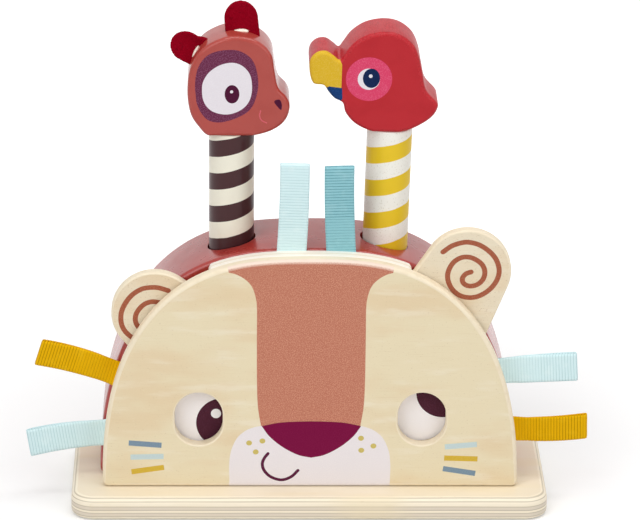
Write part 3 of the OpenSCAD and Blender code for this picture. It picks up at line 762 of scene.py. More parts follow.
def arch_outline(step: float, corner_r: float = 3.0) -> Points:
    """The outline that the face and the block share, with its rounded bottom corners.

    Args:
        step: about how far apart its points are.
        corner_r: radius of the bottom corners.

    Returns:
        The outline, counter-clockwise from the right foot.
    """
    a = np.linspace(0, math.pi, 2400)
    x = ARCH_HALF_W * np.sign(np.cos(a)) * np.abs(np.cos(a)) ** (2 / SIDE_POWER)
    z = ARCH_H * np.abs(np.sin(a)) ** (2 / CROWN_POWER)
    middle = [arch_reach(corner_r) - corner_r, corner_r]
    foot = middle + arc(corner_r, corner_r, np.radians(np.linspace(-90, 0, 7)))
    side = np.column_stack([x, z])[z > corner_r + 0.2]
    return respaced(np.vstack([foot, side, (foot * [-1, 1])[::-1]]), step, 60.0)


# ---- Meshes ----


def in_scene(name: str, data: bpy.types.ID) -> bpy.types.Object:
    """Puts a mesh, a camera or a lamp into the scene."""
    thing = bpy.data.objects.new(name, data)
    bpy.context.scene.collection.objects.link(thing)
    return thing


def as_object(bm: bmesh.types.BMesh, name: str) -> bpy.types.Object:
    """Makes a mesh, which is freed, into an object of the scene."""
    mesh = bpy.data.meshes.new(name)
    bm.to_mesh(mesh)
    bm.free()
    return in_scene(name, mesh)


def place_piece(
    bm: bmesh.types.BMesh,
    name: str,
    finishes: Sequence[Finish],
    body: str,
    node: str,
    place: Matrix = Matrix.Identity(4),
) -> bpy.types.Object:
    """Makes a finished mesh into a piece that rides on its body.

    Args:
        bm: the mesh, in millimetres, which is freed.
        name: the piece's name.
        finishes: the finishes of its material slots, in order.
        body: the body that it moves with.
        node: the CAD node that it stands for.
        place: where its own frame stands in the row frame, in metres.

    Returns:
        The piece.
    """
    bmesh.ops.scale(bm, vec=(MM, MM, MM), verts=bm.verts)
    bmesh.ops.recalc_face_normals(bm, faces=bm.faces)
    piece = as_object(bm, name)
    for finish in finishes:
        piece.data.materials.append(finish.material())
    piece.matrix_world = place
    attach(piece, body)
    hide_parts(node)
    LOG.info("%s: %d faces on %s", name, len(piece.data.polygons), body)
    return piece


@dataclass
class Print:
    """A printed shape on a board's front face.

    Where wraps is given, that finish also covers the rounded edge next to the shape.
    """

    outline: Points
    finish: Finish
    wraps: Finish | None = None


# A board's own face is material slot 0 and its edge is slot 1. Where an outline is straight, its rounded edge
# has plenty of room.
EDGE_SLOT = 1
STRAIGHT = 1e-4
PLENTY = 100.0


@dataclass
class Board:
    """A flat board with rounded edges, holes and printed shapes on its front face.

    Its outline lies in a plane of (u, v), and its depth w runs from 0 at the front to depth at the back.
    """

    outline: Points
    depth: float
    front_r: float
    back_r: float
    holes: list[Points] = field(default_factory=list)
    hole_front_r: float = 1.2
    prints: list[Print] = field(default_factory=list)
    face: Finish = BIRCH_FACE
    edge: Finish = BIRCH_EDGE
    edge_steps: int = 6
    support: float = 0.5
    fill: float = 0.0

    def finishes(self) -> list[Finish]:
        """All finishes in the order of their material slots."""
        found = [self.face, self.edge]
        for shape in self.prints:
            for finish in (shape.finish, shape.wraps):
                if finish is not None and finish not in found:
                    found.append(finish)
        return found

    @staticmethod
    def outward(loop: Points) -> Points:
        """Normals of a counter-clockwise loop that point away from its inside."""
        along = unit(np.roll(loop, -1, 0) - np.roll(loop, 1, 0))
        return np.column_stack([along[:, 1], -along[:, 0]])

    @staticmethod
    def room(loop: Points) -> np.ndarray:
        """How far each point may move inward before the rounded edge would fold at a tight corner near it.

        Args:
            loop: the outline, counter-clockwise.

        Returns:
            One distance for each point, from the radius of the bends within 12 points of it.
        """
        back, ahead = loop - np.roll(loop, 1, 0), np.roll(loop, -1, 0) - loop
        across = np.roll(loop, -1, 0) - np.roll(loop, 1, 0)
        turn = back[:, 0] * ahead[:, 1] - back[:, 1] * ahead[:, 0]
        sizes = np.linalg.norm(back, axis=1) * np.linalg.norm(ahead, axis=1) * np.linalg.norm(across, axis=1)
        own = np.where(turn > STRAIGHT, 0.4 * sizes / np.maximum(turn, STRAIGHT), PLENTY)
        reach = own.copy()
        for shift in range(-12, 13):
            gap = np.linalg.norm(np.roll(loop, shift, 0) - loop, axis=1)
            reach = np.minimum(reach, np.roll(own, shift) + 0.5 * gap)
        return reach

    def profile(self, front_r: float) -> list[Pair]:
        """The edge's section as (inset, depth) pairs, from the front face round to the back face."""
        a = np.linspace(0, math.pi / 2, self.edge_steps + 1)
        front = [(front_r * (1 - math.sin(t)), front_r * (1 - math.cos(t))) for t in a]
        back = [(self.back_r * (1 - math.sin(t)), self.depth - self.back_r * (1 - math.cos(t))) for t in a[::-1]]
        return [(front_r + self.support, 0.0), *front, *back, (self.back_r + self.support, self.depth)]

    def mesh(self) -> bmesh.types.BMesh:
        """Builds the board.

        Returns:
            The mesh in millimetres, as (u, v, w).
        """
        bm = bmesh.new()
        fronts, backs = [], []
        for outline in (self.outline, *self.holes):
            is_hole = outline is not self.outline
            loop = counter_clockwise(outline)
            normals = self.outward(loop) * (-1.0 if is_hole else 1.0)
            room = np.full(len(loop), PLENTY) if is_hole else self.room(loop)
            rings = []
            for inset, w in self.profile(self.hole_front_r if is_hole else self.front_r):
                flat = loop - normals * (room * (1 - np.exp(-inset / room)))[:, None]
                rings.append(([bm.verts.new((u, v, w)) for u, v in flat], flat))
            strip, curve = self.ring_slots(rings[0][1])
            for k, ((low, _), (high, _)) in enumerate(zip(rings[:-1], rings[1:])):
                for i, slot in enumerate(strip if k == 0 else curve):
                    j = (i + 1) % len(loop)
                    quad = bm.faces.new((low[i], low[j], high[j], high[i]))
                    quad.material_index = slot if k <= self.edge_steps else EDGE_SLOT
                    quad.smooth = True
            fronts.append(rings[0])
            backs.append(rings[-1])
        self.cap(bm, fronts, 0.0, self.prints)
        self.cap(bm, backs, self.depth, [])
        return bm

    def ring_slots(self, flat: Points) -> tuple[list[int], list[int]]:
        """Looks up the material slots of the flat strip and of the rounded strip next to each point of a loop.

        Args:
            flat: the loop on the flat face.

        Returns:
            The slots of the flat strip and those of the rounded strip.
        """
        known = self.finishes()
        middle = (flat + np.roll(flat, -1, 0)) / 2
        strip, curve = [0] * len(flat), [EDGE_SLOT] * len(flat)
        for shape in self.prints:
            for i in np.flatnonzero(within(shape.outline, middle)):
                strip[i] = known.index(shape.finish)
                curve[i] = known.index(shape.wraps) if shape.wraps else EDGE_SLOT
        return strip, curve

    def cap(self, bm: bmesh.types.BMesh, rings: list, w: float, prints: list[Print]) -> None:
        """Fills a flat face between its rings, cut along the printed shapes.

        Args:
            bm: the mesh.
            rings: the vertices and points of each loop that bounds the face, the outer one first.
            w: the face's depth.
            prints: the shapes printed on it.
        """
        known = self.finishes()
        verts: list = [v for ring, _ in rings for v in ring]
        coords: list = []
        edges: list = []
        for loop in [flat for _, flat in rings] + [shape.outline for shape in prints]:
            edges += [(len(coords) + i, len(coords) + (i + 1) % len(loop)) for i in range(len(loop))]
            coords += [Vector(p) for p in loop]
        ring_points = np.array([tuple(p) for p in coords[: len(verts)]])
        outer = rings[0][1]
        if self.fill:
            spans = (np.arange(a, b, self.fill) for a, b in zip(outer.min(0), outer.max(0)))
            grid = np.stack(np.meshgrid(*spans), -1).reshape(-1, 2)
            coords += [Vector(p) for p in grid[within(outer, grid)]]
        points, _, faces, origins, _, _ = delaunay_2d_cdt(coords, edges, [], 0 if self.fill else 1, 1e-5)
        flat = np.array([tuple(p) for p in points])
        made: list = []
        for spot, origin in zip(flat, origins):
            rim = [o for o in origin if o < len(verts)]
            vert = verts[rim[0]] if rim else self.on_rim(spot, rings, ring_points, verts)
            made.append(vert or bm.verts.new((*spot, w)))
        middles = np.array([flat[list(f)].mean(0) for f in faces])
        keep = within(outer, middles)
        for _, hole in rings[1:]:
            keep &= ~within(hole, middles)
        slots = np.zeros(len(faces), int)
        for shape in prints:
            slots[within(shape.outline, middles)] = known.index(shape.finish)
        for k in np.flatnonzero(keep):
            own = [made[i] for i in faces[k]]
            if len(set(own)) > 2 and not bm.faces.get(own):
                filled = bm.faces.new(own)
                filled.material_index = int(slots[k])
                filled.smooth = True

    @staticmethod
    def on_rim(point: np.ndarray, rings: list, ring_points: Points, verts: list) -> bmesh.types.BMVert | None:
        """The nearest rim vertex, if a cut of the face met the rim between two of them."""
        for _, flat in rings:
            span = np.roll(flat, -1, 0) - flat
            t = np.clip(((point - flat) * span).sum(1) / np.maximum((span**2).sum(1), 1e-12), 0, 1)
            if np.linalg.norm(flat + span * t[:, None] - point, axis=1).min() < 1e-3:
                return verts[int(np.linalg.norm(ring_points - point, axis=1).argmin())]
        return None


def stand_up(bm: bmesh.types.BMesh, front_y: float, lift: float = BASE_TOP) -> bmesh.types.BMesh:
    """Stands a board's mesh upright, with its front face at front_y.

    Args:
        bm: the mesh as (u, v, w).
        front_y: where its front face is along Y.
        lift: how far v is raised.

    Returns:
        The same mesh as (X, Y, Z).
    """
    for v in bm.verts:
        v.co = Vector((v.co.x, front_y + v.co.z, v.co.y + lift))
    return bm


def lathe(profile: Sequence[Pair], segments: int) -> bmesh.types.BMesh:
    """Turns a profile of (radius, height) pairs round Z. Points on the axis close its ends.

    Args:
        profile: the section, from one end of the axis to the other.
        segments: how many steps a turn has.

    Returns:
        The mesh in millimetres.
    """
    bm = bmesh.new()
    turn = np.linspace(0, math.tau, segments, endpoint=False)
    rings = []
    for r, z in profile:
        angles = turn if r > SAME_SPOT else turn[:1]
        rings.append([bm.verts.new((r * math.cos(t), r * math.sin(t), z)) for t in angles])
    for low, high in zip(rings[:-1], rings[1:]):
        for i in range(segments):
            j = (i + 1) % segments
            own = [low[i % len(low)], low[j % len(low)], high[j % len(high)], high[i % len(high)]]
            own = [v for k, v in enumerate(own) if v not in own[:k]]
            if len(own) > 2:
                bm.faces.new(own).smooth = True
    return bm


def rounded(corner: Pair, start: Pair, end: Pair, steps: int = 5) -> list[Pair]:
    """A rounded corner of a profile, from start to end, bulging towards the corner."""
    p, a, b = (np.asarray(q, float) for q in (corner, start, end))
    middle = a + b - p
    t = np.linspace(0, math.pi / 2, steps + 1)[:, None]
    return [tuple(q) for q in middle + np.cos(t) * (a - middle) + np.sin(t) * (b - middle)]


def cut_away(bm: bmesh.types.BMesh, cutters: Iterable[bmesh.types.BMesh]) -> bmesh.types.BMesh:
    """Cuts solids out of a mesh, with Blender's exact boolean.

    Args:
        bm: the mesh to cut, which is freed.
        cutters: the solids, which are freed.

    Returns:
        The cut mesh.
    """
    things = []
    for k, source in enumerate((bm, *cutters)):
        bmesh.ops.recalc_face_normals(source, faces=source.faces)
        things.append(as_object(source, f"cut_{k}"))
    body, *tools = things
    for tool in tools:
        step = body.modifiers.new("cut", "BOOLEAN")
        step.object, step.operation, step.solver = tool, "DIFFERENCE", "EXACT"
    bpy.context.view_layer.update()
    result = bmesh.new()
    result.from_object(body, bpy.context.evaluated_depsgraph_get())
    for thing in things:
        mesh = thing.data
        bpy.data.objects.remove(thing)
        bpy.data.meshes.remove(mesh)
    return result


def peg_frame(side: Side) -> Matrix:
    """Where a peg's own frame stands, with its axis on Z and heights above the base, in metres."""
    pivot = Matrix.Translation(Vector((side.peg_x, BLOCK_MID, BASE_TOP + GUIDE_MID)) * MM)
    return pivot @ Matrix.Rotation(side.lean, 4, "Y") @ Matrix.Translation((0, 0, -GUIDE_MID * MM))


def node_outline(node: str, front_y: float) -> Points:
    """Reads the outline of an upright CAD plate from its front face.

    Args:
        node: the CAD node's name.
        front_y: where its front face is along Y, in millimetres.

    Returns:
        The longest closed outline on that face, as (x, height above the base).
    """
    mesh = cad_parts[node].data
    links: dict[tuple, set] = {}
    for polygon in mesh.polygons:
        points = [mesh.vertices[i].co / MM for i in polygon.vertices]
        front = [abs(p.y - front_y) < 0.01 for p in points]
        if all(front):
            continue
        keys = [(round(p.x, 3), round(p.z, 3)) for p in points]
        for k, key in enumerate(keys):
            after = (k + 1) % len(keys)
            if front[k] and front[after] and key != keys[after]:
                links.setdefault(key, set()).add(keys[after])
                links.setdefault(keys[after], set()).add(key)
    loops = []
    while links:
        at, loop = min(links), []
        while at is not None:
            loop.append(at)
            at = next((key for key in links.pop(at) if key in links), None)
        loops.append(np.array(loop))
    longest = max(loops, key=lambda loop: np.linalg.norm(loop - np.roll(loop, 1, 0), axis=1).sum())
    return counter_clockwise(longest - np.array([0.0, BASE_TOP]))


# ---- The toy's parts ----


def moved(bm: bmesh.types.BMesh, x: float, z: float) -> bmesh.types.BMesh:
    """Moves a mesh to x on the block's middle line, and up by z."""
    bmesh.ops.translate(bm, vec=(x, BLOCK_MID, z), verts=bm.verts)
    return bm


@dataclass
class Base:
    """The ply base plate with its screw holes and spring seats."""

    width: float = 244.0
    depth: float = 93.0
    corner_r: float = 12.0
    top_r: float = 3.8
    bottom_r: float = 2.4
    screw_x: tuple[float, ...] = (-75.0, -12.0, 12.0, 75.0)
    screw_r: float = 2.25
    screw_head_r: float = 4.35
    countersink: float = 2.4
    seat_r: float = 13.5
    seat_z: float = 10.0
    overshoot: float = 1.0

    def build(self) -> None:
        """Makes the plate with its holes."""
        half = np.array([self.width / 2 - self.corner_r, self.depth / 2 - self.corner_r])
        corners = []
        for quarter, signs in enumerate(((1, 1), (-1, 1), (-1, -1), (1, -1))):
            a = np.radians(90 * quarter + np.arange(0, 91, 6))
            corners.append(half * signs + arc(self.corner_r, self.corner_r, a))
        edges = {"front_r": self.top_r, "back_r": self.bottom_r, "edge_steps": 10}
        bm = Board(np.vstack(corners), BASE_TOP, face=BIRCH_TOP, edge=BIRCH_PLY, **edges).mesh()
        for v in bm.verts:
            v.co.z = BASE_TOP - v.co.z
        below, above = -self.overshoot, BASE_TOP + self.overshoot
        hole = [(0, below), (self.screw_head_r, below), (self.screw_head_r, 0)]
        hole += [(self.screw_r, self.countersink), (self.screw_r, above), (0, above)]
        seat = [(0, self.seat_z), (self.seat_r, self.seat_z), (self.seat_r, above), (0, above)]
        cutters = [moved(lathe(hole, 32), x, 0) for x in self.screw_x]
        cutters += [moved(lathe(seat, 64), side.peg_x, 0) for side in Side]
        bm = cut_away(bm, cutters)
        # Slot 0, the flat top, takes the copy with painted shade; every other face takes the edge finish
        for face in bm.faces:
            face.material_index = int(face.normal.z < 0.999 or face.calc_center_median().z < BASE_TOP - 0.01)
        plate = place_piece(bm, "base_plate_ply", [BIRCH_TOP, BIRCH_PLY], "root", "base_plate")
        plate.data.set_sharp_from_angle(angle=math.radians(40))


@dataclass
class Block:
    """The red block with its two stepped bores."""

    edge_r: float = 2.6
    back_r: float = 1.4
    bore_r: float = 12.3
    chamber_r: float = 16.0
    rim_r: float = 0.7
    rim_zone: float = 12.0

    def build(self) -> None:
        """Makes the block."""
        outline = arch_outline(1.6) + [PEG_SHIFT, 0]
        depth = BLOCK_BACK - BLOCK_FRONT
        board = Board(outline, depth, self.edge_r, self.back_r, face=RED_ENAMEL, edge=RED_ENAMEL, edge_steps=8)
        below, above = -1, ARCH_H + 5
        bore = [(0, below), (self.chamber_r, below), (self.chamber_r, SHOULDER)]
        bore += [(self.bore_r, SHOULDER), (self.bore_r, above), (0, above)]
        cutters = [moved(lathe(bore, 96), side.peg_x, BASE_TOP) for side in Side]
        bm = cut_away(stand_up(board.mesh(), BLOCK_FRONT), cutters)
        rims = [edge for edge in bm.edges if self.on_rim(edge)]
        bmesh.ops.bevel(bm, geom=rims, offset=self.rim_r, segments=4, affect="EDGES", profile=0.5, clamp_overlap=True)
        piece = place_piece(bm, "red_body_block", [RED_ENAMEL], "root", "body_block")
        piece.data.set_sharp_from_angle(angle=math.radians(32))

    def on_rim(self, edge: bmesh.types.BMEdge) -> bool:
        """Whether an edge is part of a bore's upper rim, which the paint rounds a little."""
        if len(edge.link_faces) != 2 or edge.calc_face_angle(0) < math.radians(40):
            return False
        for v in edge.verts:
            away = min(abs(math.hypot(v.co.x - side.peg_x, v.co.y - BLOCK_MID) - self.bore_r) for side in Side)
            if away >= 0.05 or v.co.z <= BASE_TOP + BORE_TOP - self.rim_zone:
                return False
        return True


# Printed shapes of the lion's face as (x from the shape's own middle, height above the base), left halves
PANEL_SIDE = [
    (-56, 136), (-54, 121), (-45, 118.4), (-38.7, 117), (-33.6, 114.1), (-30.1, 110), (-28.2, 104.1), (-27.6, 97.6),
    (-27.6, 81.3), (-27.5, 59.3), (-27, 45), (-25.4, 34),
]
MUZZLE_SIDE = [
    (-41.1, -4), (-41.2, 5), (-41.3, 12), (-40.4, 19.8), (-37.4, 27), (-32.9, 31.3), (-28, 33.4), (-24.5, 34),
]
NOSE_TOP = [(-25.4, 33.9), (-16.7, 35.7), (-8.4, 36.3), (0, 36.5)]
NOSE_LOW = [(-25.4, 33.9), (-21.4, 28.1), (-14.8, 22.3), (-6.9, 17.9), (0, 16.3)]
MOUTH = [(-21.1, 18.6), (-23, 16), (-24, 12.8), (-23, 9.1), (-19.6, 5.6), (-14.2, 3.9), (-9.3, 5.6), (-5.7, 9.2)]
FRECKLES = [(-30.8, 24.5), (-24, 25.6), (-27.4, 19.5), (26.4, 27.1), (32.8, 22.8), (26.6, 20.4)]
BARS = [
    ((-92.5, 24.5), (-75.6, 23.2), SLATE_INK),
    ((-91.6, 16.6), (-74.6, 17), PALE_INK),
    ((-91.2, 8.4), (-74.4, 10.9), MUSTARD_INK),
    ((69.4, 22.3), (85.7, 23.7), PALE_INK),
    ((69.1, 16.1), (86.2, 15.6), MUSTARD_INK),
    ((68.6, 10.2), (85.2, 7.5), SLATE_INK),
]


def both_sides(middle: float, *halves: Sequence) -> Points:
    """A smooth left half and its mirror image as one closed outline.

    Args:
        middle: x of the mirror line.
        halves: the left half as one curve, or as two that meet at a corner.

    Returns:
        The outline: the left half, then the right half back to the start.
    """
    half = np.vstack([smooth(part, 7, closed=False) for part in halves])
    whole = np.vstack([half, half[::-1] * [-1, 1]]) + [middle, 0]
    return whole[np.linalg.norm(whole - np.roll(whole, 1, 0), axis=1) > SAME_SPOT]


@dataclass
class Face:
    """The lion's face: a printed board with two round windows."""

    window_x: float = 57.0
    window_z: float = 37.6
    window_w: float = 24.6
    window_h: float = 29.0
    window_shift: float = 0.4
    foot_gap: float = 0.35
    left_slim: float = 0.9
    slim_from: float = 90.0
    slim_over: float = 12.0
    slim_up_to: float = 70.0
    line_half: float = 0.8
    bar_half: float = 1.45

    def window(self, side: Side) -> Points:
        """The outline of one window."""
        r = self.window_w / 2
        top = arc(r, r, np.linspace(0, math.pi, 36)) + [0, self.window_h / 2 - r]
        return np.array([side.value * self.window_x + self.window_shift, self.window_z]) + np.vstack([top, -top])

    def prints(self) -> list[Print]:
        """The printed shapes, in the order in which they were printed."""
        shapes = [
            Print(both_sides(0.6, PANEL_SIDE), PANEL_INK, PANEL_FADE),
            Print(both_sides(0.3, MUZZLE_SIDE), MUZZLE_INK, MUZZLE_INK),
            Print(both_sides(1.0, NOSE_TOP[::-1], NOSE_LOW), NOSE_INK),
            Print(stroke(smooth(MOUTH, 6, closed=False), self.line_half), MOUTH_INK),
        ]
        shapes += [Print(ellipse(x, z, 1.5, 1.4, 24), GOLD_INK) for x, z in FRECKLES]
        for start, end, finish in BARS:
            shapes.append(Print(stroke(np.linspace(start, end, 6), self.bar_half, round_ends=False), finish))
        return shapes

    def build(self) -> None:
        """Makes the printed face."""
        windows = [self.window(side) for side in Side]
        edges = {"front_r": 2.0, "back_r": 0.8, "hole_front_r": 0.8, "edge_steps": 7}
        board = Board(arch_outline(0.8), FACE_BACK - FACE_FRONT, holes=windows, prints=self.prints(), **edges)
        bm = stand_up(board.mesh(), FACE_FRONT)
        for v in bm.verts:
            low = max(1 - (v.co.z - BASE_TOP) / self.slim_up_to, 0)
            v.co.x += self.left_slim * low * min(max((-self.slim_from - v.co.x) / self.slim_over, 0), 1)
            v.co.z = max(v.co.z, BASE_TOP + self.foot_gap)
        place_piece(bm, "lion_face_board", board.finishes(), "root", "face_plate")


@dataclass
class TopSpacer:
    """The bare wood strip between the face and the block at the crown."""

    half_w: float = 51.4
    height: float = 10.2
    end_r: float = 1.6
    sunk: float = 0.3
    back_gap: float = 0.7

    def build(self) -> None:
        """Makes the strip."""
        x = np.linspace(self.half_w, -self.half_w, 120)
        crown = np.array([(t, arch_height(t) - self.sunk) for t in x])
        sole = np.array([(t, arch_height(t) - self.height) for t in x[::-1]])
        outline = counter_clockwise(np.vstack([self.trimmed(crown), sole]))
        edges = {"front_r": 0.15, "back_r": 0.4, "edge_steps": 4, "support": 0.3}
        board = Board(outline, BLOCK_FRONT - FACE_BACK - self.back_gap, face=CROWN_PLY, edge=CROWN_PLY, **edges)
        bm = stand_up(board.mesh(), FACE_BACK)
        place_piece(bm, "top_spacer_strip", board.finishes(), "root", "top_spacer")

    def trimmed(self, crown: Points) -> Points:
        """The crown with its two outer corners rounded."""
        near = np.minimum(self.half_w - np.abs(crown[:, 0]), self.end_r)
        drop = self.end_r - np.sqrt(np.maximum(self.end_r**2 - (self.end_r - near) ** 2, 0))
        return crown - np.column_stack([np.zeros(len(crown)), drop])


# The spiral on a raised right ear. The left lever carries its mirror image.
SPIRAL = [
    (66.9, 125.7), (71.4, 129.0), (76.4, 130.7), (80.2, 130.9), (85.2, 129.5), (90.1, 126.2), (93.8, 121.7),
    (95.5, 116.0), (94.5, 110.6), (91.1, 105.6), (86.1, 102.1), (81.1, 101.0), (76.0, 102.1), (71.9, 105.6),
    (69.7, 110.6), (69.8, 115.2), (72.1, 119.8), (75.6, 122.4), (79.4, 123.0), (83.2, 121.8), (86.8, 118.9),
    (88.3, 114.9), (87.3, 110.7), (84.2, 107.9), (80.4, 107.3), (77.6, 108.8), (77.0, 111.4), (78.6, 113.8),
    (81.3, 114.9),
]


@dataclass
class EarLever:
    """One ear, with the eye that shows in the window under it.

    Its print is laid out as on a raised right lever. The two levers' prints differ a little.
    """

    side: Side
    pupil: Pair
    spiral_shift: Pair
    pivot: Pair = (13.0, 106.0)
    swing: float = 19.5
    spiral_half: float = 1.3
    white_path: tuple[Pair, Pair] = ((55.6, 36.4), (78.0, 58.4))
    white_half: float = 21.0
    pupil_r: float = 13.6
    glint_at: Pair = (1.5, 6.0)
    glint_r: float = 2.6

    def print_spot(self, points: Points) -> Points:
        """Moves shapes of the raised right lever to this lever at rest."""
        if self.side is Side.RIGHT:
            return points
        a = math.radians(-self.swing)
        turn = np.array([[math.cos(a), -math.sin(a)], [math.sin(a), math.cos(a)]])
        return (((points - self.pivot) @ turn.T + self.pivot) * [-1, 1])[::-1]

    def build(self) -> None:
        """Makes the lever from its CAD outline and prints it."""
        node = f"{self.side.word}_ear_lever"
        spiral = stroke(smooth(SPIRAL, 5, closed=False), self.spiral_half) + self.spiral_shift
        glint = np.add(self.pupil, self.glint_at)
        shapes = [
            (spiral, SPIRAL_INK),
            (stroke(np.linspace(*self.white_path, 12), self.white_half), EYE_WHITE_INK),
            (ellipse(*self.pupil, self.pupil_r, self.pupil_r), EYE_PUPIL_INK),
            (ellipse(*glint, self.glint_r, self.glint_r, 32), GLINT_INK),
        ]
        prints = [Print(self.print_spot(shape), finish) for shape, finish in shapes]
        outline = respaced(node_outline(node, LEVER_FRONT), 0.8)
        board = Board(outline, LEVER_DEPTH, 1.0, 0.6, prints=prints, face=BIRCH_LEVER, edge_steps=5, support=0.3)
        bm = stand_up(board.mesh(), LEVER_FRONT)
        name, body = f"{self.side.word}_ear_board", f"{self.side.word}_lever"
        place_piece(bm, name, board.finishes(), body, node)


EAR_LEVERS = (
    EarLever(Side.LEFT, pupil=(67.2, 46.8), spiral_shift=(2.0, -1.2)),
    EarLever(Side.RIGHT, pupil=(68.3, 48.8), spiral_shift=(0.0, 0.0)),
)


@dataclass
class PopUp:
    """A striped peg with its spring."""

    side: Side
    animal: str
    paint: SpiralPaint
    slot: str
    radius: float = 11.5
    end_r: float = 0.8
    play: float = 0.45
    collar_depth: float = 4.0
    screw_hole: Pair = (1.75, 17.0)
    dowel_hole: Pair = (4.0, 15.5)
    travel: float = 45.0
    wire: float = 1.4
    spring_r: float = 9.3
    turns: int = 11
    seat_depth: float = 2.0
    spring_gap: float = 0.1
    wire_sides: int = 12
    steps_a_turn: int = 28

    def build(self) -> None:
        """Makes the peg and its spring."""
        low, top, r, end_r = SHOULDER - self.play, HEAD_BOTTOM + self.side.rise, self.radius, self.end_r
        (screw_r, screw_deep), (dowel_r, dowel_deep) = self.screw_hole, self.dowel_hole
        profile = [(0, low + screw_deep), (screw_r, low + screw_deep), (screw_r, low)]
        profile += rounded((r, low), (r - end_r, low), (r, low + end_r))
        profile += [(r, z) for z in np.linspace(low + 4, top - 4, 24)]
        profile += rounded((r, top), (r, top - 0.5), (r - end_r, top))
        profile += [(dowel_r, top), (dowel_r, top - dowel_deep), (0, top - dowel_deep)]
        word, place = self.side.word, peg_frame(self.side)
        body, node = f"{self.animal}_popup", f"{word}_peg"
        peg = place_piece(lathe(profile, 128), f"{word}_striped_peg", [self.paint], body, node, place)
        peg.data.set_sharp_from_angle(angle=math.radians(40))
        self.build_spring(word, place)

    def build_spring(self, word: str, place: Matrix) -> None:
        """Makes the round-wire spring between seat and collar, at the peg's rest height.

        Args:
            word: the side's name, for the names of the spring.
            place: the peg's frame in the world.
        """
        lift = 10 * math.sin(self.side.lean)
        bottom = self.spring_gap - self.seat_depth + lift
        top = SHOULDER - self.play - self.collar_depth - self.spring_gap
        length = top - bottom
        half, close = self.wire / 2, self.wire + 0.6
        pitch = (length - self.wire - 2 * close) / (self.turns - 2)
        bm = bmesh.new()
        rings = []
        for turn in np.linspace(0, self.turns, self.turns * self.steps_a_turn + 1):
            ends = min(turn, 1) + max(turn - self.turns + 1, 0)
            height = bottom + half + ends * close + max(min(turn, self.turns - 1) - 1, 0) * pitch
            a, ring = math.tau * turn, []
            for x, z in arc(half, half, math.tau * (np.arange(self.wire_sides) + 0.5) / self.wire_sides):
                out = self.spring_r + x
                ring.append(bm.verts.new((out * math.cos(a), out * math.sin(a), height + z)))
            rings.append(ring)
        for near, far in zip(rings[:-1], rings[1:]):
            for k in range(self.wire_sides):
                j = (k + 1) % self.wire_sides
                bm.faces.new((near[k], near[j], far[j], far[k])).smooth = True
        bm.faces.new(rings[0][::-1])
        bm.faces.new(rings[-1])
        name, body, node = f"{word}_coil_spring", f"{word}_coil", f"{word}_spring"
        spring = place_piece(bm, name, [SPRING_WIRE], body, node, place)
        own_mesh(spring)


# Outlines of the two heads round their pegs' axes, as (x, height above the head's bottom), and their prints
PANDA = [
    (-0.7, -0.6), (-11.3, -0.2), (-16.5, 4.6), (-20.8, 12), (-22.3, 24), (-20.4, 37), (-14.3, 46.4), (-4, 51.9),
    (5.3, 52.5), (14.1, 49.4), (19.9, 43), (21.6, 34), (23.5, 25.4), (27.7, 20.4), (29.3, 15), (26.9, 8),
    (20.3, 2.8), (10.3, -0.1),
]
PANDA_PATCH = [
    (-18, 21.4), (-18.4, 26.7), (-17.9, 32.5), (-16.3, 37.7), (-13.3, 41.9), (-9.2, 44.5), (-3.2, 45.8),
    (3.3, 45.5), (8.3, 42.8), (11.2, 39.1), (12.7, 34.3), (13.4, 28.5), (12.9, 23.3), (11.1, 17.4), (8.1, 13.2),
    (3, 10.1), (-2, 8.3), (-7.1, 7.5), (-12.1, 8.9), (-15.5, 12.9), (-17.5, 17.7),
]
PANDA_EYE = [
    (-14.9, 24.5), (-14.4, 28.8), (-11.8, 33.5), (-7.3, 37.1), (-2.3, 38.9), (2.2, 38.9), (6.2, 36.8), (9.2, 32.8),
    (10.2, 27.5), (9.9, 22.2), (8.1, 17.5), (4.6, 14.1), (-0.5, 12), (-5.5, 12), (-10, 13.6), (-13, 16.6),
    (-14.5, 20.3),
]
PANDA_NOSE = [(21.4, 18.4), (22.7, 19.6), (24.5, 19.3), (25.3, 16.6), (24.9, 14.2), (23.2, 15.7)]
PANDA_MOUTH = [(14.6, 13.7), (14.1, 11.1), (15.1, 8.7), (17.6, 7.3)]
PARROT = [
    (-0.7, -0.6), (-9.7, 0.2), (-17.7, 3.8), (-22.9, 9.4), (-24.7, 14.8), (-28.9, 17.2), (-31.9, 20.4),
    (-34.6, 23.9), (-39.8, 24.9), (-41.9, 31), (-41.7, 37.4), (-38.4, 41.2), (-33.9, 41.9), (-30.1, 39.6),
    (-27.1, 37.4), (-24.9, 40.2), (-20.9, 45.9), (-14, 50.8), (-4.9, 52.8), (2.9, 51.5), (9.4, 46.7), (12.8, 40),
    (14.9, 31), (17.1, 22.6), (22.4, 16.6), (23.3, 13.8), (20.9, 9), (15.5, 4.6), (8.2, 1),
]
BEAK_TOP = [
    (-25.7, 37.2), (-25.7, 23.2), (-31.5, 23.8), (-36.1, 24.2), (-38.7, 22), (-45.7, 22), (-45.7, 46), (-27.7, 46),
]
BEAK_LOW = [(-25.3, 23.2), (-31.5, 23.8), (-35.5, 24.3), (-36.7, 20), (-30.7, 12), (-25.3, 12)]


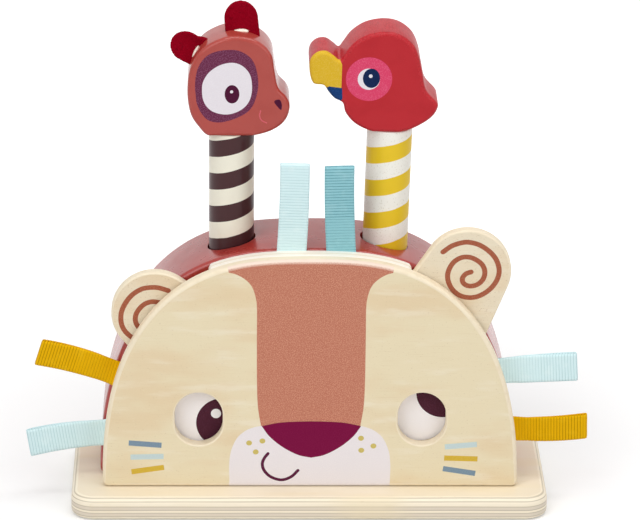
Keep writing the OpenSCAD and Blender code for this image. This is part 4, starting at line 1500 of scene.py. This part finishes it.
@dataclass
class Head:
    """A thick wooden head on a peg."""

    name: str
    node: str
    side: Side
    animal: str
    knots: list[Pair]
    enamel: Finish
    sides: Finish
    front: float = -12.0
    depth: float = 25.2
    edge_r: float = 2.2
    back_r: float = 0.8

    def outline(self) -> Points:
        """The smooth outline, cut flat where it sits on its peg."""
        loop = smooth(self.knots, 14)
        loop[:, 1] = np.maximum(loop[:, 1], 0)
        return respaced(loop, 0.7, 40.0)

    def prints(self) -> list[Print]:
        """The printed shapes of this head."""
        return []

    def dress(self, bm: bmesh.types.BMesh, finishes: list[Finish]) -> None:
        """Adds what else shows on the head; a plain head has nothing more.

        Args:
            bm: the head's mesh, standing in the peg's frame.
            finishes: the finishes by slot, to which more can be added.
        """

    def build(self) -> None:
        """Makes the head."""
        edges = {"front_r": self.edge_r, "back_r": self.back_r, "edge_steps": 8}
        board = Board(self.outline(), self.depth, prints=self.prints(), face=self.enamel, edge=self.sides, **edges)
        bm = stand_up(board.mesh(), self.front, HEAD_BOTTOM + self.side.rise)
        finishes = board.finishes()
        self.dress(bm, finishes)
        body, slot = f"{self.animal}_popup", f"{self.animal}_paint"
        place_piece(bm, self.name, finishes, body, self.node, peg_frame(self.side))


# The bare wood at the felt ears' slits: its middle and half its depth along Y
WOOD_Y = -1.2
WOOD_HALF_Y = 1.5


class PandaHead(Head):
    """The red panda's head."""

    def prints(self) -> list[Print]:
        """Its purple patch, eye, nose and mouth."""
        return [
            Print(smooth(PANDA_PATCH, 5), PATCH_INK),
            Print(smooth(PANDA_EYE, 5), HEAD_WHITE_INK),
            Print(ellipse(0.2, 22.5, 3.7, 4.85), HEAD_PUPIL_INK),
            Print(ellipse(0.0, 23.8, 0.8, 0.8, 24), HEAD_WHITE_INK),
            Print(smooth(PANDA_NOSE, 5), HEAD_PUPIL_INK),
            Print(stroke(smooth(PANDA_MOUTH, 6, closed=False), 0.32), MOUTH_PINK_INK),
        ]

    def dress(self, bm: bmesh.types.BMesh, finishes: list[Finish]) -> None:
        """Lays bare the wood round the slits of the felt ears, where the saw broke through the paint."""
        finishes.append(BARE_BIRCH)
        for ear in FELT_EARS:
            along, up, half, rise = ear.wood
            c, s = math.cos(ear.turn), math.sin(ear.turn)
            x, z = ear.spot(along, up)
            rows = ((half * c, 0, -rise * s, x), (0, WOOD_HALF_Y, 0, WOOD_Y), (half * s, 0, rise * c, z), (0, 0, 0, 1))
            lens = bmesh.ops.create_uvsphere(bm, u_segments=28, v_segments=12, radius=1, matrix=Matrix(rows))
            for face in {face for v in lens["verts"] for face in v.link_faces}:
                face.material_index, face.smooth = len(finishes) - 1, True


class ParrotHead(Head):
    """The parrot's head."""

    def prints(self) -> list[Print]:
        """Its beak, ring and eye."""
        return [
            Print(np.array(BEAK_LOW, float), BEAK_BLUE_INK, BEAK_BLUE_INK),
            Print(np.array(BEAK_TOP, float), BEAK_INK, BEAK_INK),
            Print(ellipse(-12.0, 28.2, 11.6, 11.5), RING_INK),
            Print(ellipse(-12.1, 28.2, 5.6, 5.6), HEAD_WHITE_INK),
            Print(ellipse(-10.8, 28.7, 4.3, 5.1), NAVY_INK),
            Print(ellipse(-11.2, 29.8, 0.95, 0.95, 24), HEAD_WHITE_INK),
        ]


@dataclass
class FeltEar:
    """A felt ear that stands cupped in a slit of the head.

    Its gap is an ellipse at the root, and wood is the lens of bare wood that shows there: both give the
    middle along the root and above it, and the two half sizes.
    """

    name: str
    node: str
    root: Pair
    direction: float
    half: float
    height: float
    gap: tuple[float, float, float, float]
    wood: tuple[float, float, float, float]
    taper: float = 0.6
    crease: float = 0.0
    thick: float = 2.2
    tuck: float = 5.0
    cup: float = 1.6
    cup_from: float = 0.35
    stiff: float = 6.0
    crease_at: Pair = (6.4, 2.6)
    crease_way: Pair = (0.8, -0.6)
    crease_half: float = 1.1
    fuzz: float = 0.07

    @property
    def turn(self) -> float:
        """How far the ear leans from upright, in radians."""
        return math.radians(self.direction - 90)

    def spot(self, along: float, up: float) -> Pair:
        """Where a point of the flat ear is in its peg's frame, as (x, z)."""
        c, s = math.cos(self.turn), math.sin(self.turn)
        return self.root[0] + along * c - up * s, self.root[1] + along * s + up * c + HEAD_BOTTOM

    def free(self, up: float) -> float:
        """How freely the felt bends at a height above its root, from 0 in the slit to 1."""
        return min(max(up / self.stiff, 0), 1)

    def bow(self, along: float, up: float) -> float:
        """How far a point of the ear stands out to the front, by its cup and by the crease across one corner."""
        across = (along - self.crease_at[0]) * self.crease_way[0] + (up - self.crease_at[1]) * self.crease_way[1]
        fold = math.exp(-((across / self.crease_half) ** 2)) * min(max(up + 0.5, 0), 1)
        return self.cup * self.free(up) * ((along / self.half) ** 2 - self.cup_from) + self.crease * fold

    def build(self) -> None:
        slim = self.half - self.taper
        top = self.height - slim
        crown = arc(slim, slim, np.linspace(0, math.pi, 40)) + [0, top]
        side = np.array([(self.half, -self.tuck), (self.half, 0)])
        outline = respaced(np.vstack([side, crown, (side * [-1, 1])[::-1]]), 0.6)
        edges = {"front_r": 0.9, "back_r": 0.9, "hole_front_r": 0.3, "edge_steps": 4, "support": 0.3, "fill": 0.9}
        holes = [ellipse(*self.gap, 32)]
        bm = Board(outline, self.thick, holes=holes, face=CRIMSON_FELT, edge=CRIMSON_FELT, **edges).mesh()
        rng = np.random.default_rng(7)
        for v in bm.verts:
            u, up, w = v.co
            fuzz = self.fuzz * rng.standard_normal(3) * self.free(up)
            x, z = self.spot(u + fuzz[0], up + fuzz[1])
            v.co = Vector((x, w - self.thick / 2 - self.bow(u, up) + fuzz[2], z))
        place = peg_frame(Side.LEFT)
        piece = place_piece(bm, self.name, [CRIMSON_FELT], "panda_popup", self.node, place)


FELT_EARS = (
    FeltEar(
        "panda_upper_felt",
        "panda_upper_ear",
        root=(5.4, 51.6),
        direction=95.0,
        half=8.6,
        height=16.2,
        gap=(-1.2, 0.7, 4.0, 1.3),
        wood=(-1.1, 0.45, 4.3, 1.45),
        taper=0.2,
    ),
    FeltEar(
        "panda_side_felt",
        "panda_side_ear",
        root=(-16.2, 41.0),
        direction=153.8,
        half=8.2,
        height=15.4,
        gap=(0.0, 0.8, 4.2, 1.2),
        wood=(-0.3, 1.9, 3.6, 0.9),
        crease=1.6,
    ),
)


@dataclass
class RibbonLoop:
    """A folded loop of grosgrain ribbon, held by its tail in the slot.

    Its root is where it leaves the slot, as (x, height above the base). It bows sideways, tilts out of the
    face's plane and is pinched at its root.
    """

    name: str
    colour: str
    root: Pair
    direction: float
    length: float
    tuck: float
    bow: float
    tilt: float = 0.0
    pinch: float = 0.0
    width: float = 15.0
    thick: float = 0.6
    open: float = 2.6
    rib: float = 1.5
    press: float = 0.06
    groove: float = 0.17
    groove_half: float = 0.16
    selvedge: float = 0.09
    nick: float = 0.025
    columns: int = 13
    rows_a_rib: int = 9
    root_share: float = 0.2
    air: float = 0.02

    def middle_line(self) -> tuple[Points, float]:
        """The loop's path seen from its edge.

        Returns:
            The path as (distance from the root, offset), evenly spaced, and its length.
        """
        half, closed = self.open / 2, self.thick / 2 + self.air
        straight = self.length - half
        s = np.linspace(0, 1, 60)
        t = np.maximum(0, (s - 0.1) / 0.9)
        upper = np.column_stack([straight * s, closed + (half - closed) * (3 * t**2 - 2 * t**3)])
        tip = arc(half, half, np.linspace(math.pi / 2, -math.pi / 2, 24)[1:-1]) + [straight, 0]
        tail = np.array([[-self.tuck, closed]])
        path = np.vstack([tail, upper, tip, upper[::-1] * [1, -1], tail * [1, -1]])
        length = travelled(path)[-1]
        return spots_at(path, np.linspace(0, length, int(length / self.rib * self.rows_a_rib))), length

    def spot(self, away: float, off: float, c: float, nick: float) -> tuple[float, float, float]:
        """Where a point of the loop is.

        Args:
            away: its distance from the root.
            off: how far it stands to the front.
            c: its place across the ribbon, from -1 to 1.
            nick: how wide the ribbon is there, as a share of its full width.

        Returns:
            The point, in millimetres.
        """
        turn = math.radians(self.direction)
        reach = min(max(away, 0) / self.length, 1)
        rooted = reach / self.root_share
        lean = math.radians(self.tilt) * min(rooted, 1)
        half = c * self.width / 2
        side = half * nick * math.cos(lean) * (1 - self.pinch * math.exp(-(rooted**2)))
        side += self.bow * 4 * reach * (1 - reach)
        x = self.root[0] + math.cos(turn) * away - math.sin(turn) * side
        z = self.root[1] + math.sin(turn) * away + math.cos(turn) * side
        return x, BLOCK_FRONT - self.thick - self.air - off + half * math.sin(lean), z + BASE_TOP

    def build(self) -> None:
        path, total = self.middle_line()
        step = unit(np.gradient(path, axis=0))
        out = np.column_stack([-step[:, 1], step[:, 0]])
        part = (np.linspace(0, total, len(path)) / self.rib) % 1
        wave = np.minimum(np.abs(part - 0.5) / self.groove_half, 1) ** 0.6
        bm = bmesh.new()
        sheets = []
        for face in (1, -1):
            rows = []
            for spot, normal, high in zip(path, out, wave):
                row = []
                for c in np.linspace(-1, 1, self.columns):
                    inner = min((1 - abs(c)) / self.selvedge, 1)
                    half = self.thick / 2 - self.press - self.groove * (1 - high * inner)
                    nick = 1 - self.nick * (1 - high) * (1 - inner)
                    row.append(bm.verts.new(self.spot(*(spot + normal * face * half), c, nick)))
                rows.append(row)
            sheets.append(rows)
            for i, (near, far) in enumerate(zip(rows[:-1], rows[1:])):
                for k in range(self.columns - 1):
                    quad = bm.faces.new((near[k], near[k + 1], far[k + 1], far[k]))
                    quad.smooth = True
                    # Faces down in a groove take the second finish, whose darker colour is painted shade
                    quad.material_index = int(wave[i] + wave[i + 1] < 1.2)
        top, under = sheets
        rims = [([row[k] for row in top], [row[k] for row in under]) for k in (0, -1)]
        rims += [(top[i], under[i]) for i in (0, -1)]
        for upper, lower in rims:
            for a, b, c, d in zip(upper, upper[1:], lower[1:], lower):
                bm.faces.new((a, b, c, d)).smooth = True
        finishes, slot = RIBBON_FINISHES[self.colour], f"{self.colour}_ribbon"
        piece = place_piece(bm, f"{self.name}_loop", finishes, "root", self.name)


def side_root(side: Side, z: float) -> Pair:
    """Where a side ribbon leaves the slot at height z above the base."""
    return side.value * (arch_reach(z) - RIBBON_INSET), z


def crown_root(x: float) -> Pair:
    """Where a top ribbon leaves the seam at x."""
    return x, arch_height(x) - RIBBON_INSET / 2


# Name, colour, root, direction, length, tuck, bow, tilt and pinch
RIBBONS = (
    RibbonLoop("ribbon_left_upper", "yellow", side_root(Side.LEFT, 56.7), 163.3, 41.0, 6.0, -1.3, 9.0, 0.1),
    RibbonLoop("ribbon_left_lower", "light_blue", side_root(Side.LEFT, 23.8), 188.4, 39.6, 8.0, -1.1, 5.0, 0.05),
    RibbonLoop("ribbon_right_upper", "light_blue", side_root(Side.RIGHT, 58.2), 3.6, 38.5, 6.0, 0.2, 0.0, 0.08),
    RibbonLoop("ribbon_right_lower", "yellow", side_root(Side.RIGHT, 26.1), 2.4, 38.2, 8.0, -1.0, -12.0, 0.1),
    RibbonLoop("ribbon_top_left", "light_blue", crown_root(-9.4), 88.2, 46.8, 9.0, -0.4),
    RibbonLoop("ribbon_top_right", "teal", crown_root(15.7), 91.5, 45.6, 9.0, 0.4),
)


@dataclass
class Fittings:
    """The carried CAD pieces, which only need their finish."""

    single: tuple[tuple[str, Finish], ...] = (
        ("base_screws", ZINC),
        ("bottom_spacer", BARE_BIRCH),
        ("spacer_dowels", BEECH),
    )
    paired: tuple[tuple[str, Finish], ...] = (
        ("side_spacer", BARE_BIRCH),
        ("pivot_pin", ZINC),
        ("pivot_washers", NYLON),
        ("peg_collar", BEECH),
        ("collar_screw", ZINC),
        ("neck_dowel", BEECH),
    )

    def build(self) -> None:
        """Assigns each finish."""
        pairs = tuple((f"{side.word}_{name}", finish) for name, finish in self.paired for side in Side)
        for name, finish in self.single + pairs:
            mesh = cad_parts[name].data
            mesh.materials.clear()
            mesh.materials.append(finish.material())
            LOG.info("%s: %s", name, finish.name)


# ---- Stage ----


# Light Path outputs of the rays that see the backdrop as white paper
SEEN = ("Is Camera Ray", "Is Glossy Ray")


def any_ray(tree: bpy.types.NodeTree, names: Sequence[str]) -> bpy.types.Node | bpy.types.NodeSocket:
    """A value that is 1 for the named kinds of ray and 0 for the others.

    Args:
        tree: the node tree.
        names: the Light Path node's outputs.

    Returns:
        The value's node or socket.
    """
    rays = add_node(tree, "LightPath").outputs
    found = rays[names[0]]
    for name in names[1:]:
        found = add_node(tree, "Math", (found, rays[name]), operation="MAXIMUM")
    return found


@dataclass(frozen=True)
class Softbox:
    """A soft lamp: where it hangs and its size, in metres, and its power in watts."""

    name: str
    spot: tuple[float, float, float]
    size: Pair
    power: float

    def hang(self) -> None:
        """Hangs the lamp and points it at the toy's middle."""
        data = bpy.data.lights.new(self.name, "AREA")
        data.shape = "RECTANGLE"
        data.size, data.size_y = self.size
        data.energy = self.power
        lamp = in_scene(self.name, data)
        lamp.location = self.spot
        lamp.rotation_euler = (Vector((0, 0, 0.12)) - lamp.location).to_track_quat("-Z", "Y").to_euler()


@dataclass
class Studio:
    """Floor, light and camera of a plain product picture.

    The camera was fitted to the photograph, which is 640 pixels wide and was cropped off its middle, so the
    lens is shifted. The third lamp is long and narrow and draws bright lines on glossy edges. The floor
    glows for the rays that see it, more with distance: it's white far off, and near the toy it glows less, which is
    painted shade round the toy on top of its own shadow.
    """

    elevation: float = 20.83
    focal_px: float = 4200.0
    middle_px: float = 225.0
    width_px: float = 640.0
    sensor: float = 36.0
    spot: tuple[float, float, float] = (-43.13, -2006.03, 887.86)
    paper: float = 0.8
    # Distances in metres over which the floor's glow rises, and the glow at each; the low glow near the toy is painted
    # shade
    glow: tuple[float, float, float, float] = (0.15, 0.45, 0.22, 0.6)
    fill: float = 0.45
    lamps: tuple[Softbox, ...] = (
        Softbox("key_softbox", (-0.9, -1.3, 1.2), (1.1, 1.1), 9.6),
        Softbox("fill_softbox", (1.1, -1.2, 0.8), (1.1, 1.1), 5.6),
        Softbox("top_softbox", (0.1, -0.2, 1.5), (1.5, 0.42), 9.5),
    )

    def build(self) -> None:
        """Sets up the whole stage."""
        self.aim_camera()
        self.lay_floor()
        self.light_world()
        for lamp in self.lamps:
            lamp.hang()
        bpy.context.scene.view_settings.view_transform = "Standard"

    def aim_camera(self) -> None:
        """Places the camera."""
        el = math.radians(self.elevation)
        look = Vector((0, math.cos(el), -math.sin(el)))
        data = bpy.data.cameras.new("photo_camera")
        data.sensor_width = self.sensor
        data.lens = self.focal_px * self.sensor / self.width_px
        data.shift_x = (self.width_px / 2 - self.middle_px) / self.width_px
        data.clip_end = 20.0
        camera = in_scene("photo_camera", data)
        camera.location = Vector(self.spot) * MM
        camera.rotation_euler = look.to_track_quat("-Z", "Y").to_euler()
        bpy.context.scene.camera = camera

    def lay_floor(self) -> None:
        """Lays the floor, a hair under the toy."""
        bm = bmesh.new()
        bmesh.ops.create_grid(bm, x_segments=2, y_segments=2, size=6.0)
        floor = as_object(bm, "studio_floor")
        floor.location.z = -0.4 * MM
        material = bpy.data.materials.new("studio_paper")
        tree = empty_tree(material)
        paper = add_node(tree, "BsdfDiffuse", {"Color": (self.paper, self.paper, self.paper, 1)})
        where = add_node(tree, "TexCoord").outputs["Object"]
        away = add_node(tree, "VectorMath", (where,), operation="LENGTH").outputs["Value"]
        # Less glow near the toy: painted shade on the floor round it
        lift = add_node(tree, "Emission", ((1, 1, 1, 1), add_node(tree, "MapRange", (away, *self.glow))))
        both = add_node(tree, "AddShader", (paper, lift))
        mix = add_node(tree, "MixShader", (any_ray(tree, SEEN), paper, both))
        add_node(tree, "OutputMaterial", (mix,))
        floor.data.materials.append(material)

    def light_world(self) -> None:
        """Makes the backdrop white to the camera, in reflections and through glass, and a soft fill for the rest."""
        world = bpy.data.worlds.new("studio")
        bpy.context.scene.world = world
        tree = empty_tree(world)
        fill, white = (add_node(tree, "Background", ((1, 1, 1, 1), strength)) for strength in (self.fill, 1.0))
        mix = add_node(tree, "MixShader", (any_ray(tree, (*SEEN, "Is Transmission Ray")), fill, white))
        add_node(tree, "OutputWorld", (mix,))


def main() -> None:
    """Builds the stage and every part of the toy, in order."""
    logging.basicConfig(level=logging.INFO, format="%(name)s: %(message)s")
    parts = (
        Studio(),
        Base(),
        Block(),
        Face(),
        TopSpacer(),
        *EAR_LEVERS,
        PopUp(Side.LEFT, "panda", BROWN_STRIPES, "brown_striped_peg"),
        PopUp(Side.RIGHT, "parrot", YELLOW_STRIPES, "yellow_striped_peg"),
        PandaHead("panda_head", "red_panda_head", Side.LEFT, "panda", PANDA, PANDA_ENAMEL, PANDA_ENAMEL),
        ParrotHead("parrot_head_board", "parrot_head", Side.RIGHT, "parrot", PARROT, PARROT_ENAMEL, PARROT_SIDES),
        *FELT_EARS,
        *RIBBONS,
        Fittings(),
    )
    for part in parts:
        part.build()


if __name__ == "__main__":
    main()
